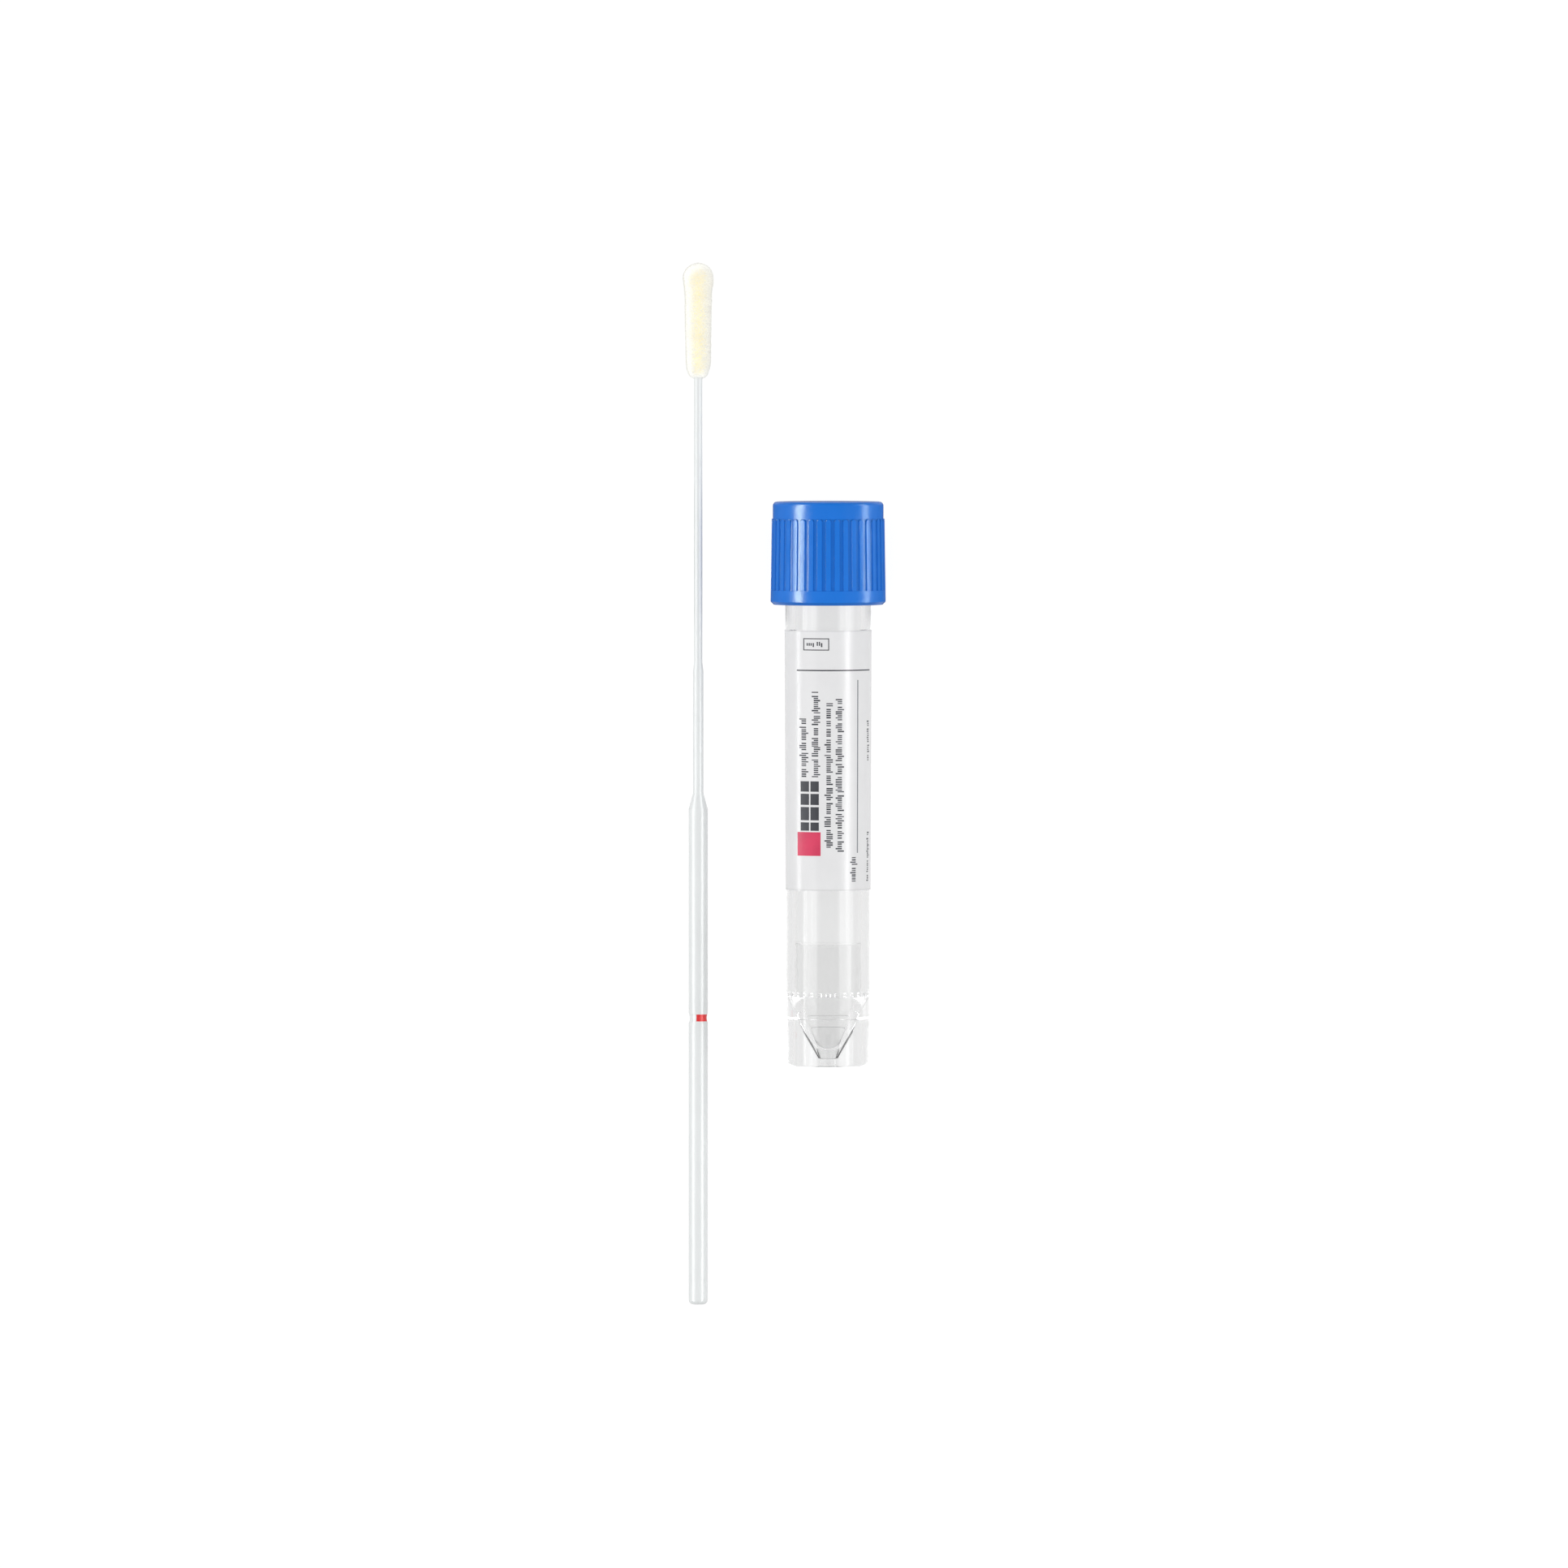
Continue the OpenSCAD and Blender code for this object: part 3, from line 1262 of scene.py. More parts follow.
    def build_moulding(self) -> None:
        """Builds the clear moulding, whose bore shines less than its outside."""
        draft = Draft()
        line = self.moulding_line()
        draft.add_lathe(line, even_angles(self.columns), self.wall_relief)
        mesh = draft.mesh("tube_moulding")
        mouth = max(range(len(line)), key=lambda at: line[at][1])
        gloss = np.full(len(mesh.vertices), self.bore_gloss)
        gloss[: (mouth - 1) * self.columns] = 1.0
        store(mesh, GLOSS, gloss)
        finish = Clear("clear_plastic", (0.985, 0.985, 0.985, 1.0), gloss_mask=GLOSS)
        settled(
            "tube_moulding",
            mesh,
            self.lie,
            Body.TUBE,
            finish.make(self.groups),
            "tube",
        )

    def build_medium(self) -> None:
        """Builds the medium, with a low meniscus where it meets the bore."""
        wall = self.bore_r - self.liquid_gap
        cone_r, cone_z = self.cone_end()
        shrink = self.liquid_gap / math.cos(math.radians(self.bore_tip_angle))
        tip = self.tip_arc(self.liquid_gap)[::-1]
        side = rounded(
            [
                (cone_r - shrink, cone_z, 0),
                (wall, self.bore_cone_z, self.bore_cone_round),
                (wall, self.tick_z + 1, 0),
            ]
        )
        line = [*tip, *side[1:], (wall, self.fill_z + self.meniscus)]
        for share in (0.98, 0.95, 0.9, 0.82, 0.7, 0.5, 0.25):
            climb = self.meniscus * math.exp((share - 1) / self.meniscus_reach)
            line.append((wall * share, self.fill_z + climb))
        line.append((0.0, self.fill_z))
        draft = Draft()
        draft.add_lathe(line, even_angles(self.liquid_columns), self.medium_relief)
        finish = Clear(
            "medium_liquid",
            (0.945, 0.945, 0.943, 1.0),
            ior=1.22,
            coat=0.2,
            absorbed_per_metre=3.0,
        )
        settled(
            "medium_liquid",
            draft.mesh("medium_liquid"),
            self.lie,
            Body.TUBE,
            finish.make(self.groups),
            "medium",
        )

    def medium_relief(
        self, angles: np.ndarray, radius: float, height: float
    ) -> np.ndarray:
        """Draws the medium in where the bore's ticks stand.

        Args:
            angles: The angles round the tube, in radians.
            radius: The medium's radius.
            height: The height above the foot.

        Returns:
            How far the medium stands out at each angle.
        """
        near = abs(height - self.tick_z) < self.tick_half + self.tick_clear
        at_wall = radius > self.bore_r - self.tick_clear
        inset = -self.tick_height if near and at_wall else 0.0
        return np.full(len(angles), inset)

    def on_label(
        self, angles: np.ndarray, heights: np.ndarray, above: float
    ) -> np.ndarray:
        """Points on the label's face.

        Args:
            angles: Angles from the top of the lying tube towards +X, in radians.
            heights: Heights above the foot.
            above: Distance above the label's face.

        Returns:
            A grid of points, heights by angles.
        """
        back = smooth_step(np.abs(np.degrees(angles)), *self.label_drop_span)
        rows = []
        for height in heights:
            reach = self.barrel_at(height) + self.label_t + above
            at_top = float(height > self.label_z1 - self.label_drop)
            lowered = self.label_drop * back * at_top
            rows.append(wall_row(reach, angles, height - lowered))
        return np.array(rows)

    def build_label(self) -> None:
        """Builds the label, with its seam turned down and painted shade in a thin band
        along its top and bottom edges.
        """
        half = math.radians(self.label_wrap / 2)
        angles = np.linspace(-half, half, self.label_columns)
        inside = np.linspace(self.label_z0 + 1, self.label_z1 - 1, self.label_rows)
        rim = np.array((0.0, self.label_edge, self.label_edge + self.label_fade))
        heights = np.hstack([self.label_z0 + rim, inside, self.label_z1 - rim[::-1]])
        draft = Draft()
        draft.add_slab(
            self.on_label(angles, heights, self.label_sink - self.label_t),
            self.on_label(angles, heights, 0),
        )
        mesh = draft.mesh("label_film")
        # Painted shade: a thin darker band along the top and bottom edges, on both faces.
        edge = np.zeros(len(heights))
        edge[:2] = edge[-2:] = 1.0
        store(mesh, PAINTED_SHADE, np.tile(np.repeat(edge, len(angles)), 2))
        finish = Moulded(
            "label_film",
            srgb(231, 231, 232),
            roughness=0.25,
            roughness_spread=0.02,
            tint=0.01,
            grain_per_metre=6000,
            grain_mm=0.0015,
            specks_per_metre=4500,
            speck_mm=0.002,
            painted_shade_dark=0.33,
        )
        settled(
            "label_film",
            mesh,
            self.lie,
            Body.TUBE,
            finish.make(self.groups),
            "label",
        )


@dataclass(frozen=True)
class Field:
    """One plain field of ink: its places across and along the lying tube."""

    across: Span
    along: Span
    ink: Ink = Ink.DARK


@dataclass
class LabelPrint:
    """The print on the label: plain fields and rows of short bars, no lettering."""

    tube: Tube
    proud: float = 0.012
    sunk: float = 0.02
    stroke: float = 0.17
    word_gap: float = 0.28
    column: float = 0.05
    word: Span = (0.9, 3.0)
    inset_share: float = 0.24
    tall_share: float = 0.25
    deep_share: float = 0.2
    seed: int = 11
    fields: list[Field] = field(default_factory=list)

    def lay_out(self) -> None:
        """Lists every field of the print, in millimetres from the axis and the foot."""
        self.frame((-3.52, 0.12), (59.75, 61.5), 0.13, Ink.DARK)
        self.bars((-3.05, -0.35), (60.25, 61.0), Ink.DARK, upright=False)
        self.add((-4.45, 5.85), (56.8, 56.98), Ink.DARK)
        self.add((4.12, 4.26), (30.7, 55.5), Ink.GREY)
        self.bars((-4.1, -2.85), (41.6, 50.2), Ink.DARK)
        self.bars((-2.35, -1.15), (41.6, 54.0), Ink.DARK)
        self.bars((-0.55, 0.65), (31.5, 52.4), Ink.DARK)
        self.bars((1.05, 2.25), (30.9, 53.0), Ink.DARK)
        self.bars((3.15, 4.2), (26.6, 30.3), Ink.DARK)
        self.bars((5.5, 5.82), (43.9, 49.6), Ink.DARK)
        self.bars((5.5, 5.82), (26.6, 33.8), Ink.DARK)
        for low, high in ((33.9, 35.1), (35.4, 37.3), (37.6, 39.2), (39.5, 41.0)):
            self.add((-3.95, -2.75), (low, high), Ink.DARK)
            self.add((-2.55, -1.35), (low, high), Ink.DARK)
        self.add((-4.4, -1.1), (30.3, 33.7), Ink.ROSE)

    def add(self, across: Span, along: Span, ink: Ink) -> None:
        """Adds one plain field."""
        self.fields.append(Field(across, along, ink))

    def frame(self, across: Span, along: Span, line: float, ink: Ink) -> None:
        """Adds an open box.

        Args:
            across: Its two sides.
            along: Its two ends.
            line: The width of its line.
            ink: Its ink.
        """
        (left, right), (low, high) = across, along
        self.add((left, right), (low, low + line), ink)
        self.add((left, right), (high - line, high), ink)
        self.add((left, left + line), (low + line, high - line), ink)
        self.add((right - line, right), (low + line, high - line), ink)

    def bars(
        self, across: Span, along: Span, ink: Ink, upright: bool = True
    ) -> None:
        """Adds a row of fine strokes in groups, as lines of small print look.

        Args:
            across: The row's two sides.
            along: The row's two ends.
            ink: The strokes' ink.
            upright: Whether the row runs along the tube.
        """
        chance = random.Random(f"{self.seed} {across} {along}")
        low, high = along if upright else across
        near, far = across if upright else along
        inset = (far - near) * self.inset_share
        at = low
        while at < high - self.stroke:
            end = min(at + chance.uniform(*self.word), high)
            while at < end - self.stroke:
                kind = chance.random()
                first = near + (0 if kind > 1 - self.tall_share else inset)
                last = far - (0 if kind < self.deep_share else inset)
                run = (at, at + self.stroke * chance.uniform(0.8, 1.3))
                sides = ((first, last), run) if upright else (run, (first, last))
                self.add(*sides, ink)
                at = run[1] + self.stroke * chance.uniform(0.5, 0.9)
            at += self.word_gap

    def build(self) -> None:
        """Builds one thin piece for each ink."""
        self.lay_out()
        for ink in Ink:
            draft = Draft()
            for spot in (f for f in self.fields if f.ink is ink):
                reach = self.tube.neck_r
                first, last = (math.asin(b / reach) for b in spot.across)
                columns = max(2, math.ceil((last - first) / self.column) + 1)
                angles = np.linspace(first, last, columns)
                heights = np.linspace(*spot.along, 2)
                draft.add_slab(
                    self.tube.on_label(angles, heights, -self.sunk),
                    self.tube.on_label(angles, heights, self.proud),
                )
            name, colour = ink.value
            finish = Moulded(
                name.replace("print", "ink"),
                srgb(*colour),
                roughness=0.4,
                tint=0.06,
                grain_mm=0.001,
                speck_mm=0.0,
            )
            settled(
                name,
                draft.mesh(name),
                self.tube.lie,
                Body.TUBE,
                finish.make(self.tube.groups),
            )


@dataclass
class Cap:
    """The screw cap: ribbed wall, crown, seal ring and inner thread."""

    lie: Lie
    groups: SurfaceGroups
    rim_z: float = 66.2
    top_z: float = 81.0
    under_z: float = 79.5
    bore_r: float = 6.95
    rim_r: float = 8.27
    rib_r: float = 8.1
    groove_d: float = 0.2
    crown_r: float = 7.95
    crown_round: float = 0.6
    rim_chamfer: float = 0.45
    rib_foot_z: float = 68.3
    rib_top_z: float = 78.55
    ribs: int = 40
    groove_w: float = 0.5
    plug_r: float = 4.7
    plug_t: float = 0.7
    plug_z: float = 74.9
    plug_lead: float = 0.3
    thread: Thread = field(
        default_factory=lambda: Thread(70.1, 2.2, 3.0, 0.5, 1.1, 0.4)
    )
    foot_span: Span = (0.05, 0.5)
    foot_gap: float = 0.2
    arch_span: Span = (-0.45, 0.1)
    arch_gap: float = 0.035
    thread_span: Span = (69.0, 77.6)
    thread_gap: float = 0.2
    dimple_r: float = 0.6
    dimple_d: float = 0.1
    dimple_slope: float = 0.15
    crease: float = 38.0
    half_pitch: tuple[float, ...] = (
        0, 0.09, 0.18, 0.25, 0.3, 0.336, 0.372, 0.42, 0.5, 0.57,
    )

    def columns(self) -> np.ndarray:
        """The angles of the columns, closer together at the sides of each rib.

        Returns:
            The angles, in radians.
        """
        pitch = 2 * math.pi / self.ribs
        offsets = np.array(self.half_pitch) / self.rib_r
        offsets = np.concatenate([-offsets[:0:-1], offsets, [pitch / 2]])
        return np.concatenate([offsets + pitch * rib for rib in range(self.ribs)])

    def wall_at(self, height: float) -> float:
        """The radius of the ribs and of the band at a height."""
        low = self.rim_z + self.rim_chamfer
        share = (height - low) / (self.rib_top_z - low)
        return self.rim_r + (self.rib_r - self.rim_r) * share

    def section_line(self) -> list[Point]:
        """The half section of the cap without its ribs.

        Returns:
            The section's points, as radius and height.
        """
        inner = self.plug_r - self.plug_t
        line = rounded(
            [
                (0, self.under_z, 0),
                (inner, self.under_z, 0.2),
                (inner, self.plug_z, 0.1),
                (self.plug_r - self.plug_lead, self.plug_z, 0.12),
                (self.plug_r, self.plug_z + self.plug_lead, 0.12),
                (self.plug_r, self.under_z, 0.08),
                (self.bore_r, self.under_z, 0.3),
                (self.bore_r, self.rim_z, 0.12),
                (self.rim_r - self.rim_chamfer, self.rim_z, 0.1),
                (self.rim_r, self.rim_z + self.rim_chamfer, 0.1),
                (self.wall_at(self.rib_foot_z), self.rib_foot_z, 0.06),
                (self.wall_at(self.rib_foot_z) - self.groove_d, self.rib_foot_z, 0),
                (self.rib_r - self.groove_d, self.rib_top_z - 0.12, 0),
                (self.crown_r, self.rib_top_z + 0.05, 0),
                (self.crown_r, self.top_z, self.crown_round),
                (self.dimple_r + self.dimple_slope, self.top_z, 0.1),
                (self.dimple_r, self.top_z - self.dimple_d, 0.05),
                (0, self.top_z - self.dimple_d, 0),
            ]
        )
        for height, (below, above), gap in (
            (self.rib_foot_z, self.foot_span, self.foot_gap),
            (self.rib_top_z, self.arch_span, self.arch_gap),
        ):
            line = refined(line, height + below, height + above, gap)
        return refined(line, *self.thread_span, self.thread_gap)

    def wall_relief(
        self, angles: np.ndarray, radius: float, height: float
    ) -> np.ndarray:
        """The thread inside the cap's wall.

        Args:
            angles: The angles round the cap, in radians.
            radius: The wall's radius.
            height: The height above the tube's foot.

        Returns:
            How far the wall stands out at each angle.
        """
        if abs(radius - self.bore_r) < 0.01:
            return -self.thread.relief(angles, height)
        return np.zeros(len(angles))

    def build(self) -> None:
        """Builds the cap and raises its ribs, with painted shade in the grooves, above the
        rib tops and on the rim's bevel.
        """
        draft = Draft()
        draft.add_lathe(self.section_line(), self.columns(), self.wall_relief)
        # Painted shade: the rib tree stores darker grooves, rib-top arcs and rim bevel,
        # which this finish darkens.
        finish = Moulded(
            "cap_plastic",
            (0.0125, 0.176, 0.69, 1.0),
            roughness=0.22,
            roughness_spread=0.05,
            specular=0.13,
            tint=0.02,
            painted_shade_dark=0.39,
            grain_per_metre=7000,
            grain_mm=0.004,
            specks_per_metre=5200,
            speck_mm=0.004,
        )
        material = finish.make(self.groups)
        mesh = grown(
            draft.mesh("cap_moulding"),
            RibTree().build(),
            {
                "Rib Count": float(self.ribs),
                "Groove Width": self.groove_w,
                "Foot Height": self.rib_foot_z,
                "Top Height": self.rib_top_z,
                "Foot Radius": self.wall_at(self.rib_foot_z),
                "Top Radius": self.rib_r,
                "Rim Height": self.rim_z + self.rim_chamfer - 0.02,
                "Material": material,
            },
        )
        mesh.shade_smooth()
        mesh.set_sharp_from_angle(angle=math.radians(self.crease))
        settled(
            "cap_moulding", mesh, self.lie, Body.CAP, material, "cap"
        )


@dataclass
class Swab:
    """The swab: stepped shaft with its break groove and mark, and the flocked tip."""

    lie: Lie
    groups: SurfaceGroups
    length: float = 150.0
    tip_z: float = 133.4
    core_z: float = 148.5
    bulb_r: float = 2.25
    waist_r: float = 2.0
    heel_r: float = 1.85
    waist_l: float = 2.3
    heel_l: float = 2.8
    thin_r: float = 0.6
    step_l: float = 1.2
    mid_r: float = 0.75
    mid_l: float = 17.6
    taper_l: float = 2.3
    handle_r: float = 1.375
    handle_l: float = 71.4
    end_round: float = 1.0
    break_z: float = 41.3
    break_w: float = 1.4
    break_d: float = 0.17
    mark_half: float = 0.5
    mark_span: Span = (-12.0, 158.0)
    mark_depths: Span = (-0.02, 0.012)
    pile: float = 0.42
    tuft: float = 0.12
    fibre_share: float = 1.25
    fibre_r: float = 0.032
    fibre_lean: float = 0.35
    fibres_per_mm2: float = 250.0
    lump_height: float = 0.025
    columns: int = 96
    seed: int = 5

    def groove_at(self, height: float) -> float:
        """The shaft's radius in the break groove at a height."""
        reach = (self.break_w**2 / 4 + self.break_d**2) / (2 * self.break_d)
        away = height - self.break_z
        return self.handle_r - self.break_d + reach - math.sqrt(reach**2 - away**2)

    def shaft_line(self) -> list[Point]:
        """The half section of the shaft.

        Returns:
            The section's points, as radius and height.
        """
        mid_z = self.handle_l + self.taper_l
        low, high = self.break_z - self.break_w / 2, self.break_z + self.break_w / 2
        lower = rounded(
            [(0, 0, 0), (self.handle_r, 0, self.end_round), (self.handle_r, low, 0)], 8
        )
        groove = [(self.groove_at(z), z) for z in np.linspace(low, high, 13)[1:]]
        upper = rounded(
            [
                (self.handle_r, high, 0),
                (self.handle_r, self.handle_l, 0.6),
                (self.mid_r, mid_z, 0.8),
                (self.mid_r, mid_z + self.mid_l, 0.6),
                (self.thin_r, mid_z + self.mid_l + self.step_l, 0.6),
                (self.thin_r, self.core_z, 0.15),
                (0, self.core_z, 0),
            ]
        )
        return [*lower, *groove, *upper[1:]]

    def tip_line(self, inset: float) -> list[Point]:
        """The tip's outline, drawn in by the pile.

        Args:
            inset: How far it is drawn in.

        Returns:
            The outline's points, as radius and height, from the axis to the axis.
        """
        heel_z = self.tip_z + self.heel_l
        bulb_z = self.length - self.bulb_r + self.tuft
        shoulder = bulb_z - self.waist_l
        line = [(0.0, self.tip_z + inset)]
        for angle in np.radians(np.linspace(-90, 0, 10)):
            line.append(
                (
                    self.thin_r + (self.heel_r - inset - self.thin_r) * math.cos(angle),
                    heel_z + (self.heel_l - inset) * math.sin(angle),
                )
            )
        for share in np.linspace(0.1, 1, 10):
            line.append(
                (
                    self.heel_r - inset + (self.waist_r - self.heel_r) * share,
                    heel_z + (shoulder - heel_z) * share,
                )
            )
        for share in np.linspace(0.15, 1, 6):
            rise = (1 - math.cos(math.pi * share)) / 2
            line.append(
                (
                    self.waist_r - inset + (self.bulb_r - self.waist_r) * rise,
                    shoulder + self.waist_l * share,
                )
            )
        for angle in np.radians(np.linspace(9, 81, 9)):
            reach = self.bulb_r - inset
            line.append((reach * math.cos(angle), bulb_z + reach * math.sin(angle)))
        line.append((0.0, self.length - inset + self.tuft))
        return line

    def lumps(self, angles: np.ndarray, radius: float, height: float) -> np.ndarray:
        """The soft lumps of the flock's bed.

        Args:
            angles: The angles round the tip, in radians.
            radius: The bed's radius.
            height: The height along the swab.

        Returns:
            How far the bed stands out at each angle.
        """
        wave = np.sin(3 * angles + 1.7 * height) * math.sin(1.1 * height)
        wave = wave + 0.6 * np.sin(5 * angles - 2.3 * height + 1)
        return self.lump_height * wave * min(radius, 1)

    def build(self) -> None:
        """Builds the shaft, its mark, the flock's bed and the fibres."""
        draft = Draft()
        draft.add_lathe(self.shaft_line(), even_angles(self.columns))
        finish = Moulded(
            "shaft_plastic",
            srgb(231, 234, 234),
            roughness=0.26,
            roughness_spread=0.02,
            tint=0.008,
            grain_mm=0.0012,
            speck_mm=0.0015,
        )
        settled(
            "swab_shaft_moulding",
            draft.mesh("swab_shaft_moulding"),
            self.lie,
            Body.SWAB,
            finish.make(self.groups),
            "swab_shaft",
        )
        self.build_mark()
        self.build_tip()

    def build_mark(self) -> None:
        """Builds the red mark in the break groove, over the shaft's +X side."""
        heights = np.linspace(-self.mark_half, self.mark_half, 9) + self.break_z
        angles = np.radians(np.linspace(*self.mark_span, 40))
        draft = Draft()
        draft.add_slab(
            *(
                np.array([wall_row(self.groove_at(z) + d, angles, z) for z in heights])
                for d in self.mark_depths
            )
        )
        finish = Moulded(
            "mark_ink", srgb(228, 42, 44), roughness=0.35, tint=0.08, speck_mm=0.0
        )
        settled(
            "swab_break_mark",
            draft.mesh("swab_break_mark"),
            self.lie,
            Body.SWAB,
            finish.make(self.groups),
        )

    def build_tip(self) -> None:
        """Builds the flock's cream bed and the white fibres that stand on it, with painted
        shade towards the fibre tips.
        """
        bed = Draft()
        outline = self.tip_line(self.pile)
        bed.add_lathe(outline, even_angles(self.columns), self.lumps)
        cream = Moulded(
            "flock_bed",
            srgb(255, 241, 192),
            roughness=0.9,
            tint=0.03,
            grain_per_metre=12000,
            grain_mm=0.03,
            speck_mm=0.0,
        )
        # Painted shade: each fibre darkens towards its tip, which draws a grey outline
        # round the tip.
        white = Moulded(
            "flock_fibre",
            srgb(254, 254, 251),
            roughness=0.75,
            tint=0.02,
            grain_mm=0.0,
            speck_mm=0.0,
            painted_shade_dark=0.45,
            painted_shade_span=(0.4, 0.85),
        )
        fibre_material = white.make(self.groups)
        fibres = grown(
            bed.mesh("flock_seed"),
            FibreTree().build(),
            {
                "Fibres Per Area": self.fibres_per_mm2,
                "Fibre Length": self.pile * self.fibre_share,
                "Fibre Radius": self.fibre_r,
                "Lean": self.fibre_lean,
                "Seed": self.seed,
                "Material": fibre_material,
            },
        )
        settled(
            "flock_bed",
            bed.mesh("flock_bed"),
            self.lie,
            Body.SWAB,
            cream.make(self.groups),
            "flock_tip",
        )
        standing = settled(
            "flock_fibres",
            fibres,
            self.lie,
            Body.SWAB,
            fibre_material,
        )
        for point in standing.data.vertices:
            point.co.z = max(point.co.z, 0.0)
        standing.visible_shadow = False
        standing.visible_diffuse = False


@dataclass(frozen=True)
class Softbox:
    """A long softbox that hangs parallel to the Y axis."""

    name: str
    angle: float
    half_angle: float
    radiance: float
    lights: tuple[str, ...] = ()
    length: float = 1.1
    colour: tuple[float, float, float] = (1.0, 1.0, 1.0)
    soft: bool = False
    spared: tuple[str, ...] = ()
    distance: float = 0.6

    def hang(self, middle: Vector) -> None:
        """Hangs the lamp. One that lights only some pieces gives them gloss alone.

        Args:
            middle: The point that it faces.
        """
        turn = math.radians(self.angle)
        width = 2 * self.distance * math.tan(math.radians(self.half_angle))
        lamp = bpy.data.lights.new(self.name, "AREA")
        lamp.shape = "RECTANGLE"
        lamp.size, lamp.size_y = width, self.length
        lamp.energy = math.pi * width * self.length * self.radiance
        lamp.color = self.colour
        holder = bpy.data.objects.new(self.name, lamp)
        holder.location = middle + self.distance * Vector(
            (math.sin(turn), 0, math.cos(turn))
        )
        holder.rotation_euler = (0, turn, 0)
        holder.visible_transmission = False
        bpy.context.scene.collection.objects.link(holder)
        holder.visible_glossy = bool(self.lights) and not self.soft
        holder.visible_diffuse = not self.lights or self.soft
        if self.lights:
            lit = self.group("_lights", self.lights)
            holder.light_linking.receiver_collection = lit
            holder.light_linking.blocker_collection = lit
        elif self.spared:
            spared = self.group("_spares", self.spared)
            for member in spared.collection_objects:
                member.light_linking.link_state = "EXCLUDE"
            holder.light_linking.receiver_collection = spared

    def group(self, ending: str, names: Sequence[str]) -> bpy.types.Collection:
        """Gathers pieces for light linking.

        Args:
            ending: The end of the collection's name.
            names: The pieces' names.

        Returns:
            The collection.
        """
        made = bpy.data.collections.new(self.name + ending)
        for name in names:
            made.objects.link(bpy.data.objects[name])
        return made


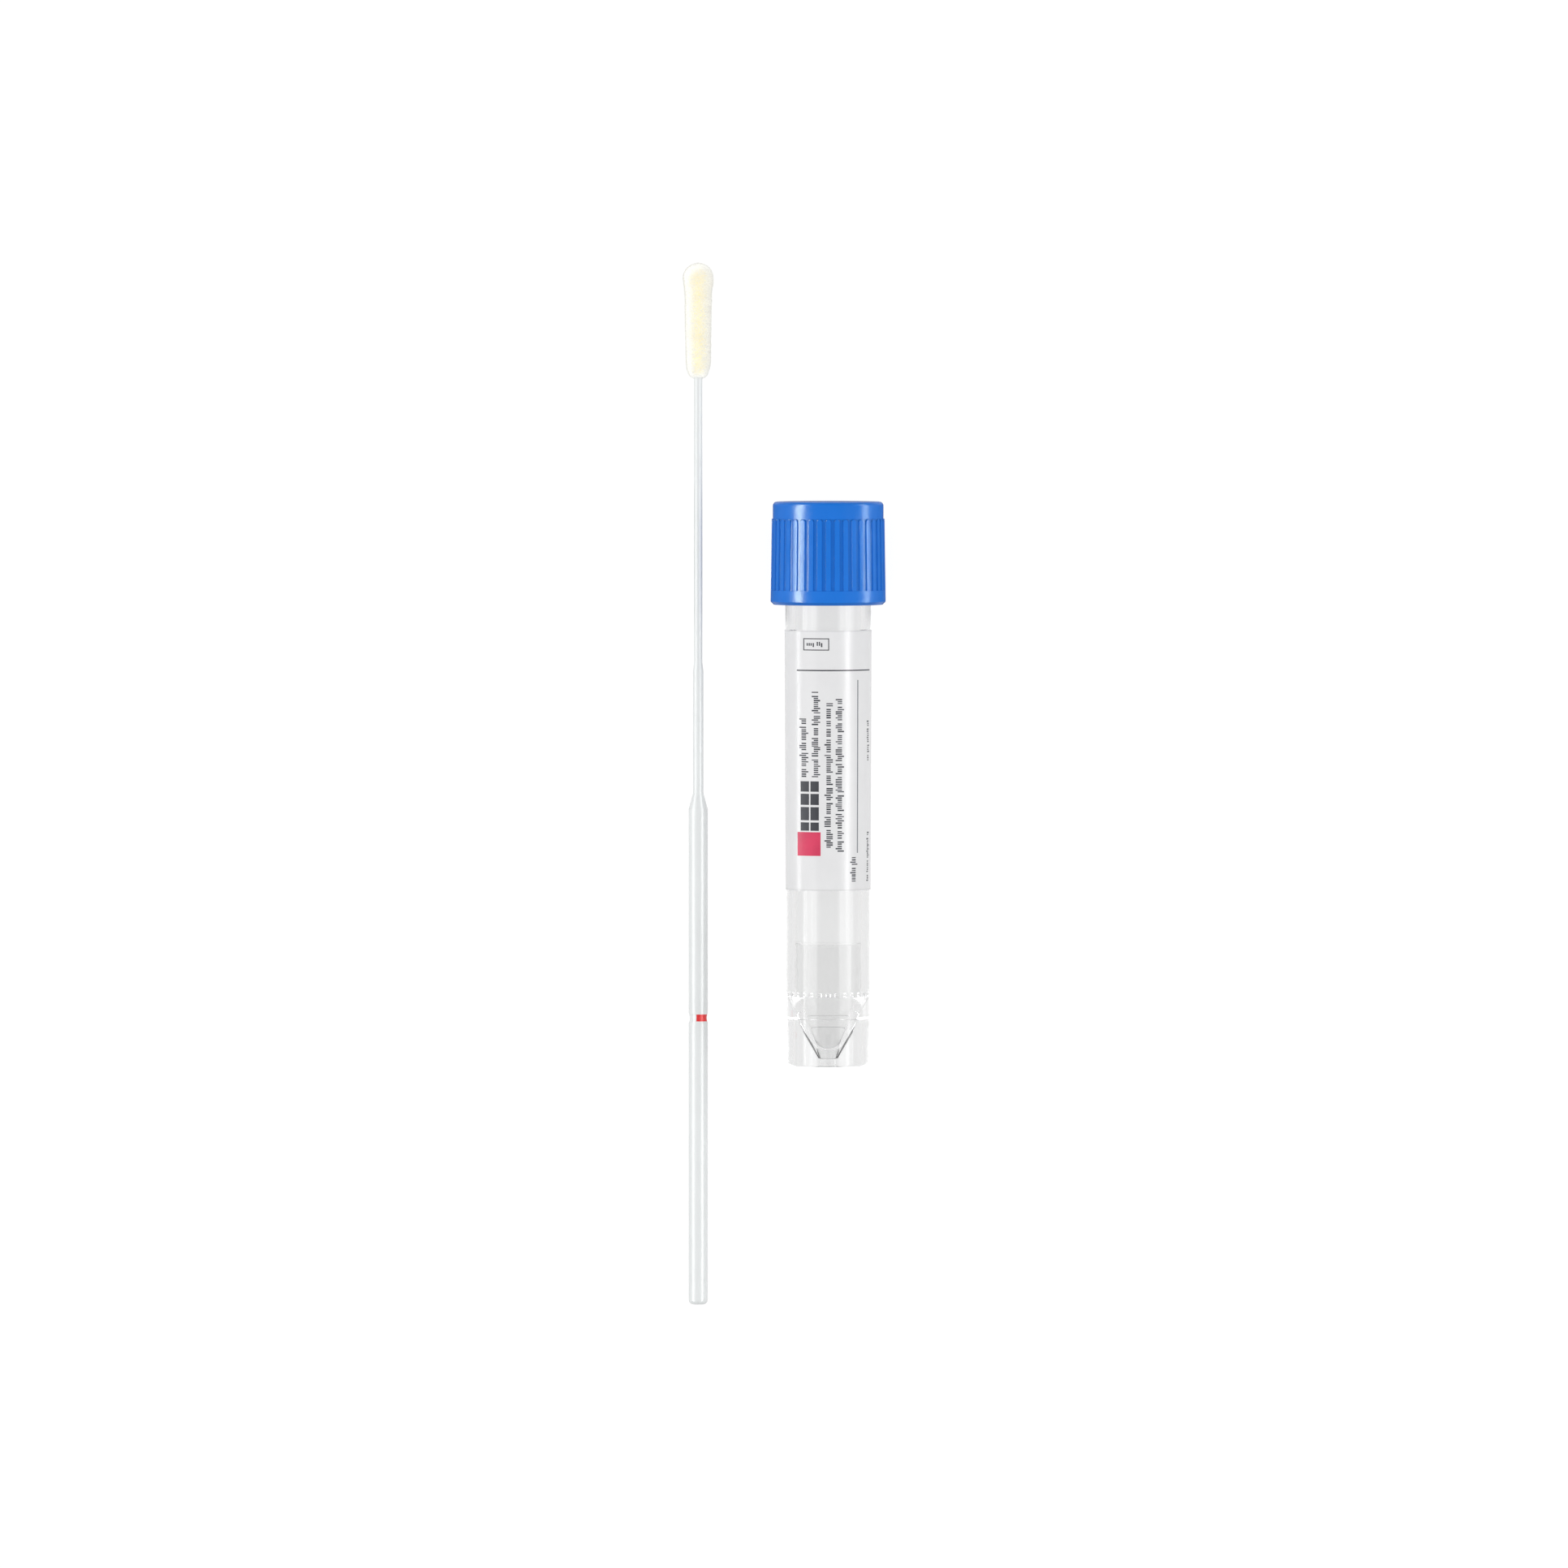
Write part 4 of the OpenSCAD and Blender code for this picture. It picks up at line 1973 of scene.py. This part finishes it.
@dataclass
class Studio:
    """The floor, the lamps, the world and the camera."""

    middle: Vector
    frame_width: float = 0.2252
    lens: float = 320.0
    sensor: float = 36.0
    floor_half: float = 3.0
    ambient: float = 0.38
    dark_angle: float = 31.0
    bright_angle: float = 64.0
    far_shade: float = 0.6
    through_dark: float = 0.85
    seen_glow: float = 0.9
    through_glow: float = 0.72
    mirrored_glow: float = 0.72
    card_glow: float = 0.08
    card_spills: Span = (0.02, 0.002)
    card_blur: float = 0.002
    floor_drop: float = 0.00002
    floor_white: Colour = (0.9, 0.9, 0.9, 1.0)
    floor_seen: Colour = (0.16, 0.16, 0.16, 1.0)
    edge_blur: float = 0.04
    wall_blur: float = 0.08
    lamps: tuple[Softbox, ...] = (
        Softbox("left_softbox", -56, 27, 1.3, length=0.64, spared=FLOCK_PIECES),
        Softbox("top_softbox", 0, 27, 1.1, length=0.64),
        Softbox("right_softbox", 56, 27, 1.15, length=0.64, spared=FLOCK_PIECES),
        Softbox("flock_softbox", 0, 35, 1.6, FLOCK_PIECES, soft=True),
        Softbox("cap_left_gloss", -62, 8.5, 62.0, CAP_PIECES, colour=CAP_GLARE),
        Softbox("cap_right_gloss", 84, 6, 30.0, CAP_PIECES, colour=CAP_GLARE),
        Softbox("tube_left_band", -53, 22, 1.2, TUBE_PIECES),
        Softbox("tube_right_band", 53, 22, 1.2, TUBE_PIECES),
        Softbox("tube_left_gloss", -69, 2.5, 3.5, TUBE_PIECES),
        Softbox("tube_right_gloss", 60, 4, 2.0, TUBE_PIECES),
        Softbox("label_left_gloss", -86, 2, 15.0, LABEL_PIECES),
        Softbox("label_right_gloss", 54, 6, 7.0, LABEL_PIECES),
        Softbox("shaft_left_gloss", -64, 16, 4.5, SHAFT_PIECES),
        Softbox("shaft_right_gloss", 52, 13, 6.0, SHAFT_PIECES),
    )

    def build(self) -> None:
        """Builds everything round the object."""
        self.build_floor()
        self.build_world()
        self.build_camera()
        for lamp in self.lamps:
            lamp.hang(self.middle)
        scene = bpy.context.scene
        scene.view_settings.view_transform = "Standard"
        scene.cycles.max_bounces = scene.cycles.transmission_bounces = 24
        scene.cycles.diffuse_bounces = 8
        scene.cycles.glossy_bounces = 12

    def build_floor(self) -> None:
        """Lays a white floor that keeps the object's shadow."""
        half = self.floor_half
        mesh = bpy.data.meshes.new("floor")
        corners = [(-half, -half), (half, -half), (half, half), (-half, half)]
        mesh.from_pydata([(*c, -self.floor_drop) for c in corners], [], [(0, 1, 2, 3)])
        floor = bpy.data.objects.new("floor", mesh)
        bpy.context.scene.collection.objects.link(floor)
        material = bpy.data.materials.new("floor_white")
        material.use_nodes = True
        tree = material.node_tree
        tree.nodes.remove(tree.nodes["Principled BSDF"])
        bench = Bench(tree)
        colour = bench.colours(self.seen_ray(bench), self.floor_white, self.floor_seen)
        lit = bench.put("ShaderNodeBsdfDiffuse", {"Color": colour})
        glow = bench.put(
            "ShaderNodeEmission", {"Color": WHITE, "Strength": self.floor_glow(bench)}
        )
        both = bench.put("ShaderNodeAddShader", {0: lit.outputs[0], 1: glow.outputs[0]})
        bench.join(both.outputs[0], tree.nodes["Material Output"].inputs["Surface"])
        mesh.materials.append(material)
        floor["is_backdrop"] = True

    def floor_glow(self, bench: Bench) -> Value:
        """How strongly the floor glows: fully when seen, less through or in a piece.

        What mirrors the stretch beside the cap finds a dark card lying there.

        Args:
            bench: The bench of the floor's tree.

        Returns:
            The strength.
        """
        place = bench.split(bench.read("ShaderNodeTexCoord", "Object"))
        cover = 1.0
        for at, low, high, spill in zip(place, *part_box("cap"), self.card_spills):
            away = abs(at - (low + high) / 2)
            half = (high - low) / 2 + spill
            near = bench.spread(
                away, half - self.card_blur, half + self.card_blur, 1.0, 0.0
            )
            cover = near * cover
        mirrored = bench.spread(cover, 0.0, 1.0, self.mirrored_glow, self.card_glow)
        strength = bench.read("ShaderNodeLightPath", "Is Camera Ray") * self.seen_glow
        for ray, share in (
            ("Is Transmission Ray", self.through_glow),
            ("Is Glossy Ray", mirrored),
        ):
            strength = (bench.read("ShaderNodeLightPath", ray) * share).most(strength)
        return strength

    @staticmethod
    def seen_ray(bench: Bench) -> Value:
        """Tells a ray that shows the background from one that only lights.

        Args:
            bench: The bench of the floor's or the world's tree.

        Returns:
            1 for a camera, glossy or transmission ray, and otherwise 0.
        """
        seen = bench.read("ShaderNodeLightPath", "Is Camera Ray")
        for ray in ("Is Glossy Ray", "Is Transmission Ray"):
            seen = seen.most(bench.read("ShaderNodeLightPath", ray))
        return seen

    def build_world(self) -> None:
        """Makes a world that is white to look at and lights more softly.

        What mirrors it finds it dark straight overhead and greyer near the floor.
        """
        world = bpy.data.worlds.new("studio_world")
        bpy.context.scene.world = world
        world.use_nodes = True
        bench = Bench(world.node_tree)
        side, _, up = bench.split(bench.read("ShaderNodeTexCoord", "Generated"))
        tilt = bench.math("ARCTAN2", abs(side), up)
        edge, rim = math.radians(self.dark_angle), math.radians(self.bright_angle)
        wall = bench.spread(tilt, rim, rim + self.wall_blur, 1.0, self.far_shade)
        through = bench.read("ShaderNodeLightPath", "Is Transmission Ray")
        glossy = bench.read("ShaderNodeLightPath", "Is Glossy Ray")
        overhead = through * self.through_dark
        mirrored = bench.spread(tilt, edge, edge + self.edge_blur, overhead, wall)
        bounced = glossy.most(through) * (up > 0.0)
        shown = bench.spread(bounced, 0.0, 1.0, 1.0, mirrored)
        strength = bench.spread(self.seen_ray(bench), 0.0, 1.0, self.ambient, shown)
        ground = world.node_tree.nodes["Background"]
        ground.inputs["Color"].default_value = WHITE
        bench.join(strength, ground.inputs["Strength"])

    def build_camera(self) -> None:
        """Hangs the camera straight above the middle, with +Y up in its frame."""
        lens = bpy.data.cameras.new("camera")
        lens.sensor_width, lens.lens = self.sensor, self.lens
        lens.clip_start, lens.clip_end = 0.01, 20
        camera = bpy.data.objects.new("camera", lens)
        height = self.frame_width * self.lens / self.sensor
        camera.location = self.middle + Vector((0, 0, height))
        bpy.context.scene.collection.objects.link(camera)
        bpy.context.scene.camera = camera


def mounts_of(record: dict) -> dict[str, tuple[Vector, Vector, dict]]:
    """The record's mounts by name.

    Args:
        record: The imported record.

    Returns:
        The place, the axis and the sizes of each mount.
    """
    return {
        mount["name"]: (
            Vector(mount["pos_m"]),
            Vector(mount["axis"]).normalized(),
            mount["dims"],
        )
        for mount in record["mounts"]
    }


def tube_lie(mounts: dict[str, tuple[Vector, Vector, dict]]) -> Lie:
    """Where the tube lies: on the cap's axis, from the plane of the foot.

    Args:
        mounts: The mounts by name.

    Returns:
        The tube's lie.
    """
    top, axis, _ = mounts["cap_top"]
    foot = mounts["foot_rim"][0]
    return Lie(top + axis * (foot - top).dot(axis), axis)


def swab_lie(mounts: dict[str, tuple[Vector, Vector, dict]], end_round: float) -> Lie:
    """Where the swab lies: on the handle's axis, from the handle's end.

    Args:
        mounts: The mounts by name.
        end_round: The rounding of the handle's end, in millimetres.

    Returns:
        The swab's lie.
    """
    middle, outward, dims = mounts["swab_handle"]
    reach = (dims["length_mm"] / 2 + end_round) * MM
    return Lie(middle + outward * reach, -outward)


def plain(bounds: Sequence[Sequence[float]]) -> list[list[float]]:
    """The corners of a box as plain lists of numbers."""
    return [[float(value) for value in corner] for corner in bounds]


def main() -> None:
    """Builds the set round its frame, then the studio round the set."""
    logging.basicConfig(level=logging.INFO, format="%(name)s: %(message)s")
    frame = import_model()
    cad_box = plain(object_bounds())
    mounts = mounts_of(frame["record"])
    groups = SurfaceGroups()
    tube = Tube(tube_lie(mounts), groups)
    tube.build_moulding()
    tube.build_medium()
    tube.build_label()
    LabelPrint(tube).build()
    Cap(tube.lie, groups).build()
    Swab(swab_lie(mounts, Swab.end_round), groups).build()
    low, high = (Vector(corner) for corner in cad_box)
    middle = (low + high) / 2
    Studio(middle).build()


if __name__ == "__main__":
    main()
